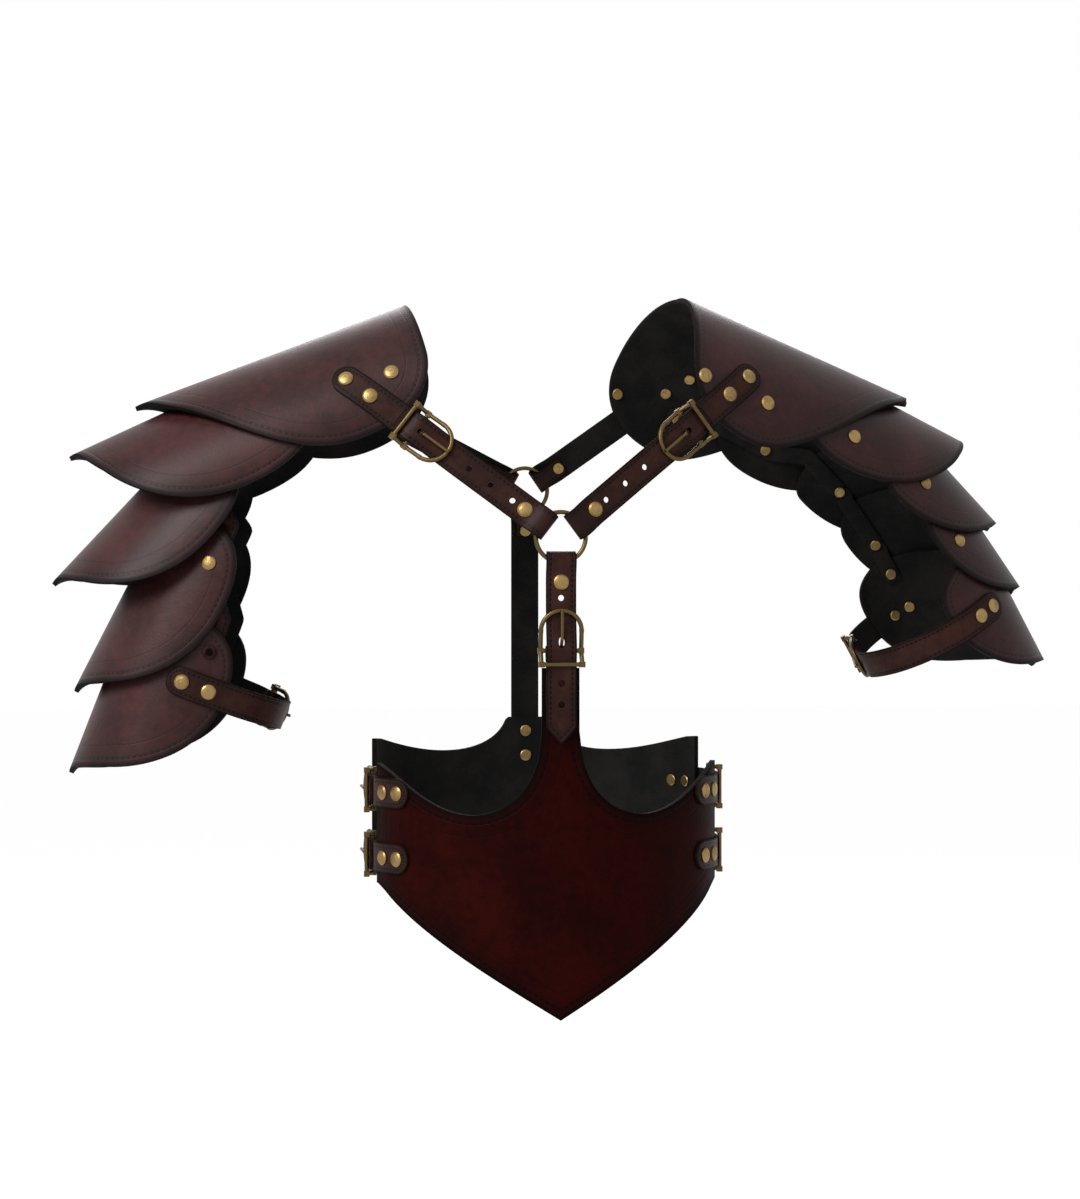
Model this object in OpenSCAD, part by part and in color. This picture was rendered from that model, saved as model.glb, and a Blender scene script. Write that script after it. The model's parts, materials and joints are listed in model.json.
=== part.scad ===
/* [Leather] */
// Thickness of the shoulder plates
plate_t = 3.2; // [2.8:0.2:3.4]
// Thickness of the waist panels
panel_t = 3.6; // [3:0.2:4.4]
// Thickness of the straps
strap_t = 1.8; // [1.6:0.1:1.9]
// Width of the straps
strap_w = 20; // [17:1:21]

/* [Shoulder plates] */
// Outside radius of the shoulder cap
cap_r = 78; // [77:1:80]
// Air between one plate and the plate it covers
nest_gap = 0.8; // [0.6:0.1:0.9]

/* [Waist] */
// Half width of the waist panels
waist_a = 122; // [118:1:126]
// Half depth of the waist panels
waist_b = 95; // [93:1:97]

/* [Brass fittings] */
// Thickness of the buckle wire
wire_d = 3; // [2.6:0.1:3]
// Width of the rivet caps
rivet_d = 10; // [8:0.5:10]
// Width of the punched strap holes
punch_d = 4; // [3.4:0.1:4.2]

/* [Part to show] */
// Name of the one piece to draw, or all

/* [Hidden] */

leather_dark = "#4a2626";
leather_mid = "#5c3a2c";
brass = "#a98f55";

// clearances
seat = 0.05;       // a strap lying on leather
slip = 0.15;       // wire in its leather fold
wire_r = wire_d / 2;
bore_r = 1.6;      // rivet holes
stem_r = 1.5;

// plates: side 0 is worn on the picture's left, side 1 on its right
L = 0;
RT = 1;
base_x = 90;
sweep = [5, 14];
tilt = [[20.8, 25, 47, 63, 69], [20, 23.5, 43, 52, 59]];
reach = [[191.1, 236.4, 248.1, 233, 236.4], [193.6, 236, 264.1, 283.9, 303.5]];
level = [[315.2, 280.5, 193.1, 118.8, 62.8], [326.2, 296.8, 234.9, 186.7, 133.5]];
long_scale = [[1, 1.12, 1, 1, 0.92], [1, 1.12, 1.05, 0.95, 0.9]];
turn_scale = [[1, 0.96, 0.9, 1, 1.2], [1.09, 0.96, 0.93, 0.9, 1.1]];
lobe_end = [[0, 166, 148, 148, 134], [0, 158, 122, 118, 118]];
ridge_end = [[0, 122, 112, 112, 102], [0, 120, 110, 104, 100]];
rivet_u = [[150, 135, 126, 123, 115], [140, 114, 88, 81, 106]];
rivet_phi = [[72, 72, 63, 74, 93], [78, 72, 66, 69, 72]];
sunk_rivet = [[false, true, false, false, false], [false, false, false, false, true]];
neck_rivet = [[173, 66], [190, 78]];

function plate_r(i) = cap_r - i * (plate_t + nest_gap);
function along(p) = [cos(sweep[p]), sin(sweep[p]), 0];
function fore(p) = [sin(sweep[p]), -cos(sweep[p]), 0];
function down(p, i) = cos(tilt[p][i]) * along(p) - sin(tilt[p][i]) * [0, 0, 1];
function crest(p, i) = sin(tilt[p][i]) * along(p) + cos(tilt[p][i]) * [0, 0, 1];
function tip(p, i) = [base_x, 0, level[p][i]] + reach[p][i] * along(p);
function radial(p, i, phi) = cos(phi) * crest(p, i) + sin(phi) * fore(p);
function axis_at(p, i, u) = tip(p, i) - plate_r(i) * crest(p, i) - u * down(p, i);
function on_plate(p, i, u, phi, r) = axis_at(p, i, u) + r * radial(p, i, phi);
function unit(v) = v / norm(v);
function wave(a, b, c, d, n) = [for (k = [0 : n - 1]) let (t = k / n, s = 1 - t)
  s * s * s * a + 3 * s * s * t * b + 3 * s * t * t * c + t * t * t * d];

// lays a frame at point p with x along v and z towards w
module aim(p, v, w) {
  yaw = atan2(v[1], v[0]);
  pitch = -asin(v[2] / norm(v));
  side = [-sin(yaw), cos(yaw), 0];
  up = cross(unit(v), side);
  roll = atan2(-w * side, w * up);
  translate(p) rotate([roll, pitch, yaw]) children();
}

module both_ends() {
  children();
  mirror([0, 1, 0]) children();
}

// pieces are drawn on the picture's right and mirrored for its left
module hand(p) {
  if (p == L) mirror([1, 0, 0]) children();
  else children();
}

// shoulder plates: outlines run u from the tip, phi round from the crest
function cap_line(q) = concat(
  wave([0, 0], [9, 8], [16, 26], [30, 36], 8),
  wave([30, 36], [62, 122 - 60 * q], [130 * q - 38, 92 * q], [140, 92 * q], 10),
  wave([140, 92 * q], [176, 92 * q], [196, 80 * q], [200, 62 * q], 8),
  wave([200, 62 * q], [203, 40 * q], [201, 20], [198, 0], 6),
  [[198, 0]]);

function lame_line(p, i) = let (s = long_scale[p][i], q = turn_scale[p][i],
    e = lobe_end[p][i], g = ridge_end[p][i]) concat(
  wave([0, 0], [6 * s, 7 * q], [11 * s, 32 * q], [20 * s, 47 * q], 8),
  wave([20 * s, 47 * q], [33 * s, 76 * q], [62 * s, 94 * q], [98 * s, 94 * q], 10),
  wave([98 * s, 94 * q], [98 * s + (e - 98 * s) * 0.6, 94 * q], [e - 5, 86 * q], [e, 70 * q], 7),
  wave([e, 70 * q], [e - 4, 36 * q], [g, 22], [g, 0], 6),
  [[g, 0]]);

cut_phi = 55;      // each half outline is cut looking along this turn
plate_long = 206;  // longer than any plate

// half of an outline as a prism, going over the crest by lead before it draws back
module outline_prism(i, line, lead) {
  r = plate_r(i);
  crest_x = r * sin(-cut_phi);
  last = line[len(line) - 1][0];
  drop = lead > 0 ? 0 : 0.3;
  rotate([90, 0, cut_phi + 90]) linear_extrude(r + 6) polygon(concat(
    [[crest_x - 2, 3], [crest_x - lead, drop]],
    [for (k = [1 : len(line) - 2]) [r * sin(line[k][1] - cut_phi), line[k][0]]],
    [[crest_x - lead, last - drop], [crest_x - 2, last - 3]]));
}

module plate_shell(i) {
  rotate([0, 0, 200]) difference() {
    translate([0, 0, -2]) cylinder(r = plate_r(i), h = plate_long, $fn = 144);
    translate([0, 0, -3]) cylinder(r = plate_r(i) - plate_t, h = plate_long + 2, $fn = 144);
  }
}

// local frame of a plate: z runs up its axis, x to the crest
module plate_frame(p, i) {
  translate(tip(p, i)) rotate([0, 0, sweep[p]]) rotate([0, tilt[p][i] - 90, 0])
    translate([-plate_r(i), 0, 0]) children();
}

module plate(p, i, line) {
  plate_frame(p, i) intersection() {
    plate_shell(i);
    union() {
      outline_prism(i, line, 0.6);
      mirror([0, 1, 0]) outline_prism(i, line, 0);
    }
  }
}

module pin_hole(p, i, u, phi) {
  r = plate_r(i);
  aim(on_plate(p, i, u, phi, r - 12), radial(p, i, phi), down(p, i))
    rotate([0, 90, 0]) cylinder(r = bore_r, h = 20, $fn = 32);
}

// rivet: cap on z = 0, leather pile of depth h below it
module rivet(h) {
  rr = rivet_d / 2;
  translate([0, 0, seat]) rotate_extrude($fn = 40) polygon([
    [0, -h - 1.4], [rr - 1.6, -h - 1.4], [rr - 1, -h - 1], [rr - 1, -h - 0.1],
    [stem_r, -h - 0.1], [stem_r, 0], [rr, 0], [rr, 0.7], [rr * 0.8, 1.5],
    [rr * 0.45, 2], [0, 2.15]]);
}

// room for the rivet's washer on the inside of a spine strap
module flange_room(p, i, spot) {
  d = 40;
  aim(on_plate(p, i, spot[0], spot[1], plate_r(i) - spine_pile + seat - d), down(p, i),
    radial(p, i, spot[1])) cylinder(r = rivet_d / 2 - 0.9, h = d, $fn = 40);
}

// flat rivet let into the plate, where the next plate up covers it
sunk_h = 1;
module flat_rivet(h) {
  rr = rivet_d / 2 - 1;
  translate([0, 0, -3 * seat]) rotate_extrude($fn = 40) polygon([
    [0, -h - 1.3], [rr - 0.6, -h - 1.3], [rr, -h - 0.9], [rr, -h],
    [stem_r, -h], [stem_r, -sunk_h + 4 * seat], [rr, -sunk_h + 4 * seat], [rr, 0], [0, 0]]);
}

module rivet_pocket(p, i, u, phi) {
  aim(on_plate(p, i, u, phi, plate_r(i) - sunk_h), down(p, i), radial(p, i, phi))
    cylinder(r = rivet_d / 2 - 1 + 2 * seat, h = sunk_h + 3, $fn = 40);
}

module plate_rivet(p, i, u, phi, h, lift = 0, sunk = false) {
  aim(on_plate(p, i, u, phi, plate_r(i) + lift), down(p, i), radial(p, i, phi))
    if (sunk) flat_rivet(h);
    else rivet(h);
}

module lame(p, i) {
  hand(p) color(leather_dark) difference() {
    plate(p, i, lame_line(p, i));
    for (s = [-1, 1]) {
      pin_hole(p, i, rivet_u[p][i], s * rivet_phi[p][i]);
      if (sunk_rivet[p][i]) rivet_pocket(p, i, rivet_u[p][i], s * rivet_phi[p][i]);
    }
    if (i == 4) for (s = [-1, 1], t = arm_rivets[p]) pin_hole(p, i, arm_u[p], s * t);
  }
}

module cap(p) {
  hand(p) color(leather_dark) difference() {
    plate(p, 0, cap_line(turn_scale[p][0]));
    for (s = [-1, 1]) {
      if (!shared_rivet[p]) pin_hole(p, 0, rivet_u[p][0], s * rivet_phi[p][0]);
      pin_hole(p, 0, neck_rivet[p][0], s * neck_rivet[p][1]);
    }
    for (rear = [0, 1], x = cap_rivet_x) cap_strap_hole(p, rear, x);
  }
}

// spine straps under the plates, hinged in the gap between two rivets
spine_w = strap_w * 0.6;
spine_in = plate_t + strap_t / 2 + 0.9;
spine_gap = 0.5;
shared_rivet = [true, false];  // the cap's outer strap rivet also holds the spine strap
function spine_spot(p, i, s) = i == 0 && shared_rivet[p]
  ? let (q = cap_spot(p, s > 0 ? 0 : 1, cap_rivet_x[0])) [q[0], s * q[1]]
  : [rivet_u[p][i], s * rivet_phi[p][i]];
function spine_pin(p, i, s) = let (q = spine_spot(p, i, s))
  on_plate(p, i, q[0], q[1], plate_r(i) - spine_in);
function spine_bend(p, i, s) =
  on_plate(p, i, lobe_end[p][i] + flex_past, s * rivet_phi[p][i], plate_r(i) - spine_in);

flex_past = 3.6;   // how far past the lobes the flex line lies
spine_foot = 6;    // straight length past each rivet
spine_lap = 0.6;   // lap of two straight lengths at a bend

module spine_box(a, v, w, l) {
  aim(a, v, w) translate([0, -spine_w / 2, -strap_t / 2]) cube([l, spine_w, strap_t]);
}

// direction of the strap where it crosses the flex line above plate i
function spine_run(p, i, s) = unit(spine_bend(p, i, s) - spine_head(p, i - 1, s));
function spine_head(p, i, s) = spine_pin(p, i, s) + spine_foot * down(p, i);

// all that lies past the flex line above plate i, on one side (end 1: towards the tip)
module past_flex(p, i, s, end) {
  m = unit(spine_run(p, i, s) + down(p, i));
  aim(spine_bend(p, i, s), end * m, radial(p, i, s * rivet_phi[p][i]))
    translate([-spine_gap, -30, -30]) cube([60, 60, 60]);
}

module spine(p, i) {
  hand(p) color(leather_mid) for (s = [-1, 1]) difference() {
    spot = spine_spot(p, i, s);
    w = radial(p, i, spot[1]);
    pin = spine_pin(p, i, s);
    head = spine_head(p, i, s);
    union() {
      if (i > 0) difference() {
        top = spine_bend(p, i, s) - 6 * down(p, i);
        spine_box(top, down(p, i), w, norm(head - top) + spine_lap);
        past_flex(p, i, s, -1);
      } else spine_box(pin - 8 * down(p, i), down(p, i), w, 8 + spine_foot + spine_lap);
      if (i < 4) difference() {
        v = spine_bend(p, i + 1, s) - head;
        spine_box(head, v, unit(w + radial(p, i + 1, s * rivet_phi[p][i + 1])), norm(v) + 6);
        past_flex(p, i + 1, s, 1);
      }
    }
    pin_hole(p, i, spot[0], spot[1]);
    flange_room(p, i, spot);
  }
}

module cap_spine_straps() {
  spine(L, 0);
  spine(RT, 0);
}

spine_pile = plate_t + strap_t + 1;

module lame_rivets(p, i) {
  hand(p) color(brass) {
    for (s = [-1, 1])
      plate_rivet(p, i, rivet_u[p][i], s * rivet_phi[p][i], spine_pile, 0, sunk_rivet[p][i]);
    if (i == 4) for (s = [-1, 1], t = arm_rivets[p])
      plate_rivet(p, i, arm_u[p], s * t, plate_t + strap_t + 0.3, strap_t + seat);
  }
}

// strap pieces in a strap frame: x along the strap, y across, z away from the body
loop_in = wire_r + slip;            // fold round a buckle bar
loop_out = loop_in + strap_t;
ring_loop_in = wire_r + 1;          // fold round the ring
ring_loop_out = ring_loop_in + strap_t;
ring_mid = 16.5;
heel_z = 2 * strap_t + 3 * seat + slip + wire_r;
nose_z = strap_t + slip + wire_r + 0.7;
nose_x = 26.5;
heel_x = 9;
buckle_half = strap_w / 2 + 3.5;

module flat_band(pts, w = strap_w) {
  translate([0, w / 2, 0]) rotate([90, 0, 0]) linear_extrude(w) polygon(pts);
}

module eye(x) { translate([x, 0, -9]) cylinder(d = punch_d, h = 18, $fn = 32); }

module tongue_slot(x) {
  for (s = [-1.6, 1.6]) translate([x - 5.6 + s, 0, -6]) cylinder(d = punch_d, h = 18, $fn = 32);
  translate([x - 7.2, -punch_d / 2, -6]) cube([3.2, punch_d, 18]);
}

// the fold round a ring, its return lying under the strap
module ring_fold(w) {
  xe = 13.4;
  xs = 18.4;
  difference() {
    intersection() {
      union() {
        rotate([90, 0, 0]) translate([xe, 0, -w]) cylinder(r = ring_loop_out, h = strap_w, $fn = 48);
        flat_band([[xe, -ring_loop_out], [xs, -ring_loop_out], [xs + 6, -strap_t], [34, -strap_t],
          [34, 0], [40, 0], [40, strap_t], [xs + 6, strap_t], [xs, ring_loop_out],
          [xe, ring_loop_out]]);
      }
      translate([0, 0, -9]) linear_extrude(18) polygon(concat(
        [[5, -w], [19, -w], [24, -strap_w / 2], [41, -strap_w / 2]],
        [[41, strap_w / 2], [24, strap_w / 2], [19, w], [5, w]]));
    }
    rotate([90, 0, 0]) translate([xe, 0, -strap_w]) cylinder(r = ring_loop_in, h = 2 * strap_w, $fn = 48);
    flat_band([[xe, -ring_loop_in], [xs, -ring_loop_in], [xs + 5.6, 0], [xs, ring_loop_in],
      [xe, ring_loop_in]], 2 * strap_w);
    eye_pin(fold_rivet_x);
  }
}

fold_rivet_x = 29.6;
front_fold = strap_w / 2 - 1;
back_fold = strap_w / 2 - 3;

module eye_pin(x) { translate([x, 0, -9]) cylinder(r = bore_r, h = 18, $fn = 32); }

// holed strap from x0 up over the buckle bar at xb and on to its tip at x1
module over_bar(x0, xb, x1, pointed) {
  lift = loop_out + slip;
  low = strap_t + seat;
  difference() {
    flat_band([[x0, 0], [xb - 22, 0], [xb - 3, lift], [xb + 1.5, lift], [xb + 8, low], [x1, low],
      [x1, low + strap_t], [xb + 8, low + strap_t], [xb + 1.5, lift + strap_t],
      [xb - 3, lift + strap_t], [xb - 22, strap_t], [x0, strap_t]]);
    tongue_slot(xb);
    if (pointed) for (s = [-1, 1]) translate([x1, 0, 0]) rotate([0, 0, -s * 42])
      translate([-strap_w, s > 0 ? 0 : -strap_w, -1]) cube([2 * strap_w, strap_w, 9]);
    else for (s = [-1, 1]) translate([x1, s * strap_w / 2, -1]) rotate([0, 0, 45])
      cube([6, 6, 20], center = true);
  }
}

// fold of the buckle strap round the bar, lying on out to x1
module bar_fold(xb, x1) {
  difference() {
    union() {
      rotate([90, 0, 0]) translate([xb, 0, -strap_w / 2]) cylinder(r = loop_out, h = strap_w, $fn = 48);
      flat_band([[xb, -loop_out], [xb + 10, 0], [x1, 0], [x1, strap_t], [xb + 7, strap_t],
        [xb, loop_out]]);
    }
    rotate([90, 0, 0]) translate([xb, 0, -strap_w]) cylinder(r = loop_in, h = 2 * strap_w, $fn = 48);
    flat_band([[xb, -loop_in], [xb + 6, 0], [xb, loop_in]], 2 * strap_w);
    translate([xb - 5, -punch_d / 2, -5]) cube([8.6, punch_d, 10]);
  }
}

module rod(a, b, d) {
  aim(a, b - a, [0, 0.01, 1]) rotate([0, 90, 0]) cylinder(d = d, h = norm(b - a), $fn = 20);
}

knuckle = wire_d + 0.7;    // square corners of the cast frame
collar_d = wire_d + 0.3;

// D frame with its centre bar on y at x = xb
module buckle(xb) {
  h = buckle_half;
  bow = nose_x - h;
  tip_down = atan2(nose_z, nose_x);
  translate([xb, 0, 0]) {
    rod([0, -h, 0], [0, h, 0], wire_d);
    rod([heel_x, -h, heel_z], [heel_x, h, heel_z], wire_d);
    for (s = [-1, 1]) {
      rod([0, s * h, 0], [heel_x, s * h, heel_z], wire_d);
      translate([0, s * h, 0]) cube(knuckle, center = true);
      translate([heel_x, s * h, heel_z]) cube(knuckle, center = true);
    }
    rotate([0, tip_down, 0]) {
      for (s = [-1, 1]) {
        rod([0, s * h, 0], [-bow / cos(tip_down), s * h, 0], wire_d);
        translate([-bow / cos(tip_down) - 1.2, s * h, 0]) rotate([0, 90, 0])
          cylinder(d = collar_d, h = 2.4, $fn = 20);
      }
      translate([-bow / cos(tip_down), 0, 0]) rotate([0, 0, 90])
        rotate_extrude(angle = 180, $fn = 48) translate([h, 0]) circle(d = wire_d, $fn = 20);
    }
  }
}

tongue_d = 2.2;
knee = [-7.5, 0, 6.1];

// tongue on the bar at x = xb, resting on the nose of the frame
module tongue(xb) {
  rest_z = nose_z + wire_r + tongue_d / 2 + seat;
  translate([xb, 0, 0]) difference() {
    union() {
      rotate([90, 0, 0]) translate([0, 0, -1.4]) cylinder(r = wire_r + 1.4, h = 2.8, $fn = 48);
      rod([-1.6, 0, 1.3], knee, tongue_d);
      translate(knee) sphere(d = tongue_d + 0.24, $fn = 20);
      rod(knee, [-nose_x - 1, 0, rest_z], tongue_d);
    }
    rotate([90, 0, 0]) translate([0, 0, -2]) cylinder(r = wire_r + 0.1, h = 4, $fn = 48);
  }
}

// chest and back straps: flat from the ring, then round the cap
front_y = -105;
waist_y = front_y + seat + waist_b;
back_y = waist_y + waist_b + seat;
ring_at = [[0, front_y, 223], [0, back_y, 262]];
cap_u = [[158.5, 160], [174, 160]];
function face(p, rear) = rear == 1 ? -fore(p) : fore(p);
function turn_to(p, rear, q) = let (w = q - axis_at(p, 0, 0), a = w * crest(p, 0), b = w * face(p, rear))
  atan2(b, a) - acos((cap_r + seat) / norm([a, b]));
function out_at(p, rear, phi) = cos(phi) * crest(p, 0) + sin(phi) * face(p, rear);
function round_at(p, rear, phi) = cos(phi) * face(p, rear) - sin(phi) * crest(p, 0);
function touch(p, rear, q) =
  axis_at(p, 0, cap_u[p][rear]) + (cap_r + seat) * out_at(p, rear, turn_to(p, rear, q));
function flatten(v) = unit([v[0], 0, v[2]]);
function wire_pt(p, rear) = ring_at[rear]
  + ring_mid * flatten(touch(p, rear, ring_at[rear]) - ring_at[rear]);
function strap_phi(p, rear) = turn_to(p, rear, wire_pt(p, rear));
function strap_touch(p, rear) = touch(p, rear, wire_pt(p, rear));
function strap_dir(p, rear) = unit(strap_touch(p, rear) - wire_pt(p, rear));
function strap_zero(p, rear) = wire_pt(p, rear) - ring_mid * strap_dir(p, rear);
function strap_out(p, rear) = out_at(p, rear, strap_phi(p, rear));
function strap_len(p, rear) = norm(strap_touch(p, rear) - strap_zero(p, rear));

module strap_frame(p, rear) {
  aim(strap_zero(p, rear), strap_dir(p, rear), strap_out(p, rear)) children();
}

cap_rivet_x = [8, 29];
cap_strap_end = 38;
diag_bar = 120;
diag_tip = 134;
vert_bar = 74.6;
vert_tip = 136;

// where the strap lies on the cap, x beyond the touching line
function cap_spot(p, rear, x) = let (phi = strap_phi(p, rear), dir = strap_dir(p, rear),
    a = x * (dir * round_at(p, rear, phi)), turn = phi + asin(a / (cap_r + strap_t)),
    u = cap_u[p][rear] - x * (dir * down(p, 0))) [u, turn];

module cap_strap_hole(p, rear, x) {
  spot = cap_spot(p, rear, x);
  n = out_at(p, rear, spot[1]);
  aim(axis_at(p, 0, spot[0]) + (cap_r - 12) * n, n, down(p, 0)) rotate([0, 90, 0])
    cylinder(r = bore_r, h = 24, $fn = 32);
}

module cap_strap_rivet(p, rear, x) {
  spot = cap_spot(p, rear, x);
  n = out_at(p, rear, spot[1]);
  pile = shared_rivet[p] && x == cap_rivet_x[0] ? spine_pile : plate_t + 0.3;
  aim(axis_at(p, 0, spot[0]) + (cap_r + strap_t + seat) * n, down(p, 0), n) rivet(pile + strap_t + seat);
}

module strap_shape(x0, x1) {
  translate([x0, -strap_w / 2]) square([x1 - x0 - strap_w / 2, strap_w]);
  translate([x1 - strap_w / 2, 0]) circle(d = strap_w, $fn = 64);
}

// flat length from x0 to the cap, then a band round the cap
module cap_end(p, rear, x0) {
  l = strap_len(p, rear);
  phi = strap_phi(p, rear);
  difference() {
    intersection() {
      strap_frame(p, rear) translate([0, 0, -30]) linear_extrude(40) strap_shape(x0, l + cap_strap_end);
      union() {
        aim(strap_touch(p, rear), round_at(p, rear, phi), out_at(p, rear, phi))
          translate([-0.02, -200, 0]) cube([200, 400, strap_t]);
        plate_frame(p, 0) mirror([0, 1 - rear, 0]) rotate([0, 0, phi - 50])
          rotate_extrude(angle = 50.02, $fn = 144)
            translate([cap_r + seat, 60]) square([strap_t, 150]);
      }
    }
    for (x = cap_rivet_x) cap_strap_hole(p, rear, x);
  }
}

module chest_strap(p) {
  hand(p) color(leather_mid) difference() {
    strap_frame(p, 0) difference() {
      union() {
        ring_fold(front_fold);
        over_bar(39, diag_bar, diag_tip, false);
      }
      for (x = [40 : 18 : 94]) eye(x);
    }
    ring_wire(0, slip);
  }
}

module chest_buckle_strap(p) {
  hand(p) color(leather_mid) {
    strap_frame(p, 0) bar_fold(diag_bar, diag_bar + 20);
    cap_end(p, 0, diag_bar + 19);
  }
}

module back_strap(p) {
  hand(p) color(leather_mid) {
    difference() {
      strap_frame(p, 1) ring_fold(back_fold);
      ring_wire(1, slip);
    }
    cap_end(p, 1, 39);
  }
}

module centre_frame() { aim(ring_at[0], [0, 0, -1], [0, -1, 0]) children(); }

module centre_chest_strap() {
  color(leather_mid) centre_frame() difference() {
    union() {
      ring_fold(front_fold);
      over_bar(39, vert_bar, vert_tip, true);
    }
    for (x = [40, 96, 110]) eye(x);
  }
}

module centre_chest_buckle_strap() { color(leather_mid) centre_frame() bar_fold(vert_bar, 112); }

module chest_buckles() {
  color(brass) {
    for (p = [L, RT]) hand(p) strap_frame(p, 0) buckle(diag_bar);
    centre_frame() buckle(vert_bar);
  }
}

module chest_tongue(p) { hand(p) color(brass) strap_frame(p, 0) tongue(diag_bar); }
module centre_chest_tongue() { color(brass) centre_frame() tongue(vert_bar); }

module ring_wire(k, grow) {
  translate(ring_at[k]) rotate([90, 0, 0])
    rotate_extrude($fn = 96) translate([ring_mid, 0]) circle(r = wire_r + grow, $fn = 32);
}

module ring(k) { color(brass) ring_wire(k, 0); }

// waist panels on a four-arc oval
side_flat = 15;    // how much tighter the side arcs are than the half depth
side_r = waist_b - side_flat;
side_x = waist_a - side_r;
front_c = (side_x * side_x - side_flat * side_flat) / (2 * side_flat);
front_r = waist_b + front_c;
join_phi = atan2(side_x, front_c);

module oval_shell(lo, hi) {
  h = hi - lo;
  translate([0, waist_y, lo]) for (m = [0, 1]) mirror([m, 0, 0]) {
    translate([0, front_c, 0]) rotate([0, 0, -90.2]) rotate_extrude(angle = join_phi + 0.4, $fn = 240)
      translate([front_r - panel_t, 0]) square([panel_t, h]);
    translate([side_x, 0, 0]) rotate([0, 0, join_phi - 90]) rotate_extrude(angle = 91 - join_phi, $fn = 144)
      translate([side_r - panel_t, 0]) square([panel_t, h]);
  }
}

waist_top = concat(
  [[-0.02, 137], [12.5, 137], [12.5, 102]],
  wave([12.5, 96], [13, 58], [34, 40], [58, 39.5], 12),
  wave([58, 39.5], [84, 40], [100, 60], [118, 72], 10), [[118, 72], [140, 74]]);
waist_low = concat([[140, -6], [116, -10]],
  wave([112, -14], [92, -40], [40, -70], [0, -95], 14), [[-0.02, -95]]);
panel_edge = 28.5;

module waist_front() {
  color(leather_dark) difference() {
    intersection() {
      oval_shell(-100, 140);
      rotate([90, 0, 0]) for (m = [0, 1]) mirror([m, 0, 0])
        linear_extrude(200) polygon(concat(waist_top, waist_low));
      translate([-200, -200, -200]) cube([400, 200 - panel_edge + waist_y, 400]);
    }
    side_pins(0);
  }
}

module waist_back() {
  color(leather_dark) difference() {
    translate([0, 2 * waist_y, 0]) mirror([0, 1, 0]) intersection() {
      oval_shell(-30, 100);
      rotate([90, 0, 0]) for (m = [0, 1]) mirror([m, 0, 0]) linear_extrude(200) polygon(concat(
        [[-0.02, 96]], wave([14, 96], [22, 72], [60, 64], [112, 84], 10), [[140, 88], [140, -10]],
        wave([124, -10], [80, -12], [30, -20], [0, -28], 8), [[-0.02, -28]]));
      translate([-200, -200, -200]) cube([400, 200 - panel_edge + waist_y, 400]);
    }
    side_pins(1);
    for (x = back_rivet_x) back_pin(x);
  }
}

// centre strap at the back, lying on the outside of the back panel
back_rivet_x = [176, 194];
back_len = 202;
module back_frame() {
  aim(ring_at[1], [0, 0, -1], [0, 1, 0]) children();
}
module back_pin(x) { back_frame() translate([x, 0, -9]) cylinder(r = bore_r, h = 18, $fn = 32); }

module centre_back_strap() {
  color(leather_mid) difference() {
    back_frame() {
      ring_fold(back_fold);
      linear_extrude(strap_t) strap_shape(39, back_len);
    }
    for (x = back_rivet_x) back_pin(x);
  }
}

// straps on a ring with one flat for the buckle; the flat faces x
belt_bar = 6;
belt_tip = 24;

module wedge(lo, hi) {
  linear_extrude(2 * strap_w, center = true) polygon(concat([[0, 0]],
    [for (k = [0 : 6]) let (a = lo + (hi - lo) * k / 6) 200 * [cos(a), sin(a)]]));
}

function flat_x(r, half) = sqrt(r * r - half * half);

module belt(r, half, lo, hi) {
  c = flat_x(r, half);
  intersection() {
    difference() {
      intersection() {
        cylinder(r = r + strap_t, h = strap_w, center = true, $fn = 144);
        translate([-300, -150, -50]) cube([300 + c + strap_t, 300, 100]);
      }
      intersection() {
        cylinder(r = r, h = strap_w + 2, center = true, $fn = 144);
        translate([-300, -150, -50]) cube([300 + c, 300, 100]);
      }
    }
    wedge(lo, hi);
  }
}

module flat_frame(r, half) { aim([flat_x(r, half), 0, 0], [0, -1, 0], [1, 0, 0]) children(); }

module belt_strap(r, half, hi) {
  belt(r, half, atan2(half - 5, flat_x(r, half)), hi);
  flat_frame(r, half) over_bar(3 - half, belt_bar, belt_tip, false);
}

module belt_buckle_strap(r, half, lo) {
  belt(r, half, lo, -atan2(half - 5, flat_x(r, half)));
  flat_frame(r, half) bar_fold(belt_bar, half - 3);
}

// side buckles, level round the side of the waist
side_z = [52, 8];
side_half = 27;
side_rivets = [29, 39.5];
side_last = 46.5;

module side_frame(k) { translate([side_x, waist_y, side_z[k]]) children(); }

module side_pin(k, rear, a) {
  side_frame(k) mirror([0, rear, 0]) rotate([0, 90, -a])
    translate([0, 0, side_r - 12]) cylinder(r = bore_r, h = 24, $fn = 32);
}

module side_pins(rear) {
  for (p = [L, RT], k = [0, 1], a = side_rivets) hand(p) side_pin(k, rear, a);
}

module side_rivet_set(k, rear) {
  side_frame(k) mirror([0, rear, 0]) for (a = side_rivets) rotate([0, 90, -a])
    translate([0, 0, side_r + strap_t + seat]) rivet(panel_t + strap_t + 0.3);
}

module side_straps() {
  color(leather_mid) for (p = [L, RT], k = [0, 1]) hand(p) difference() {
    side_frame(k) belt_strap(side_r + seat, side_half, side_last);
    for (a = side_rivets) side_pin(k, 1, a);
  }
}

module side_buckle_straps() {
  color(leather_mid) for (p = [L, RT], k = [0, 1]) hand(p) difference() {
    side_frame(k) belt_buckle_strap(side_r + seat, side_half, -side_last);
    for (a = side_rivets) side_pin(k, 0, a);
  }
}

module side_buckles() {
  color(brass) for (p = [L, RT], k = [0, 1]) hand(p) side_frame(k)
    flat_frame(side_r + seat, side_half) buckle(belt_bar);
}

module side_tongue(p, k) {
  color(brass) hand(p) side_frame(k) flat_frame(side_r + seat, side_half) tongue(belt_bar);
}

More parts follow.
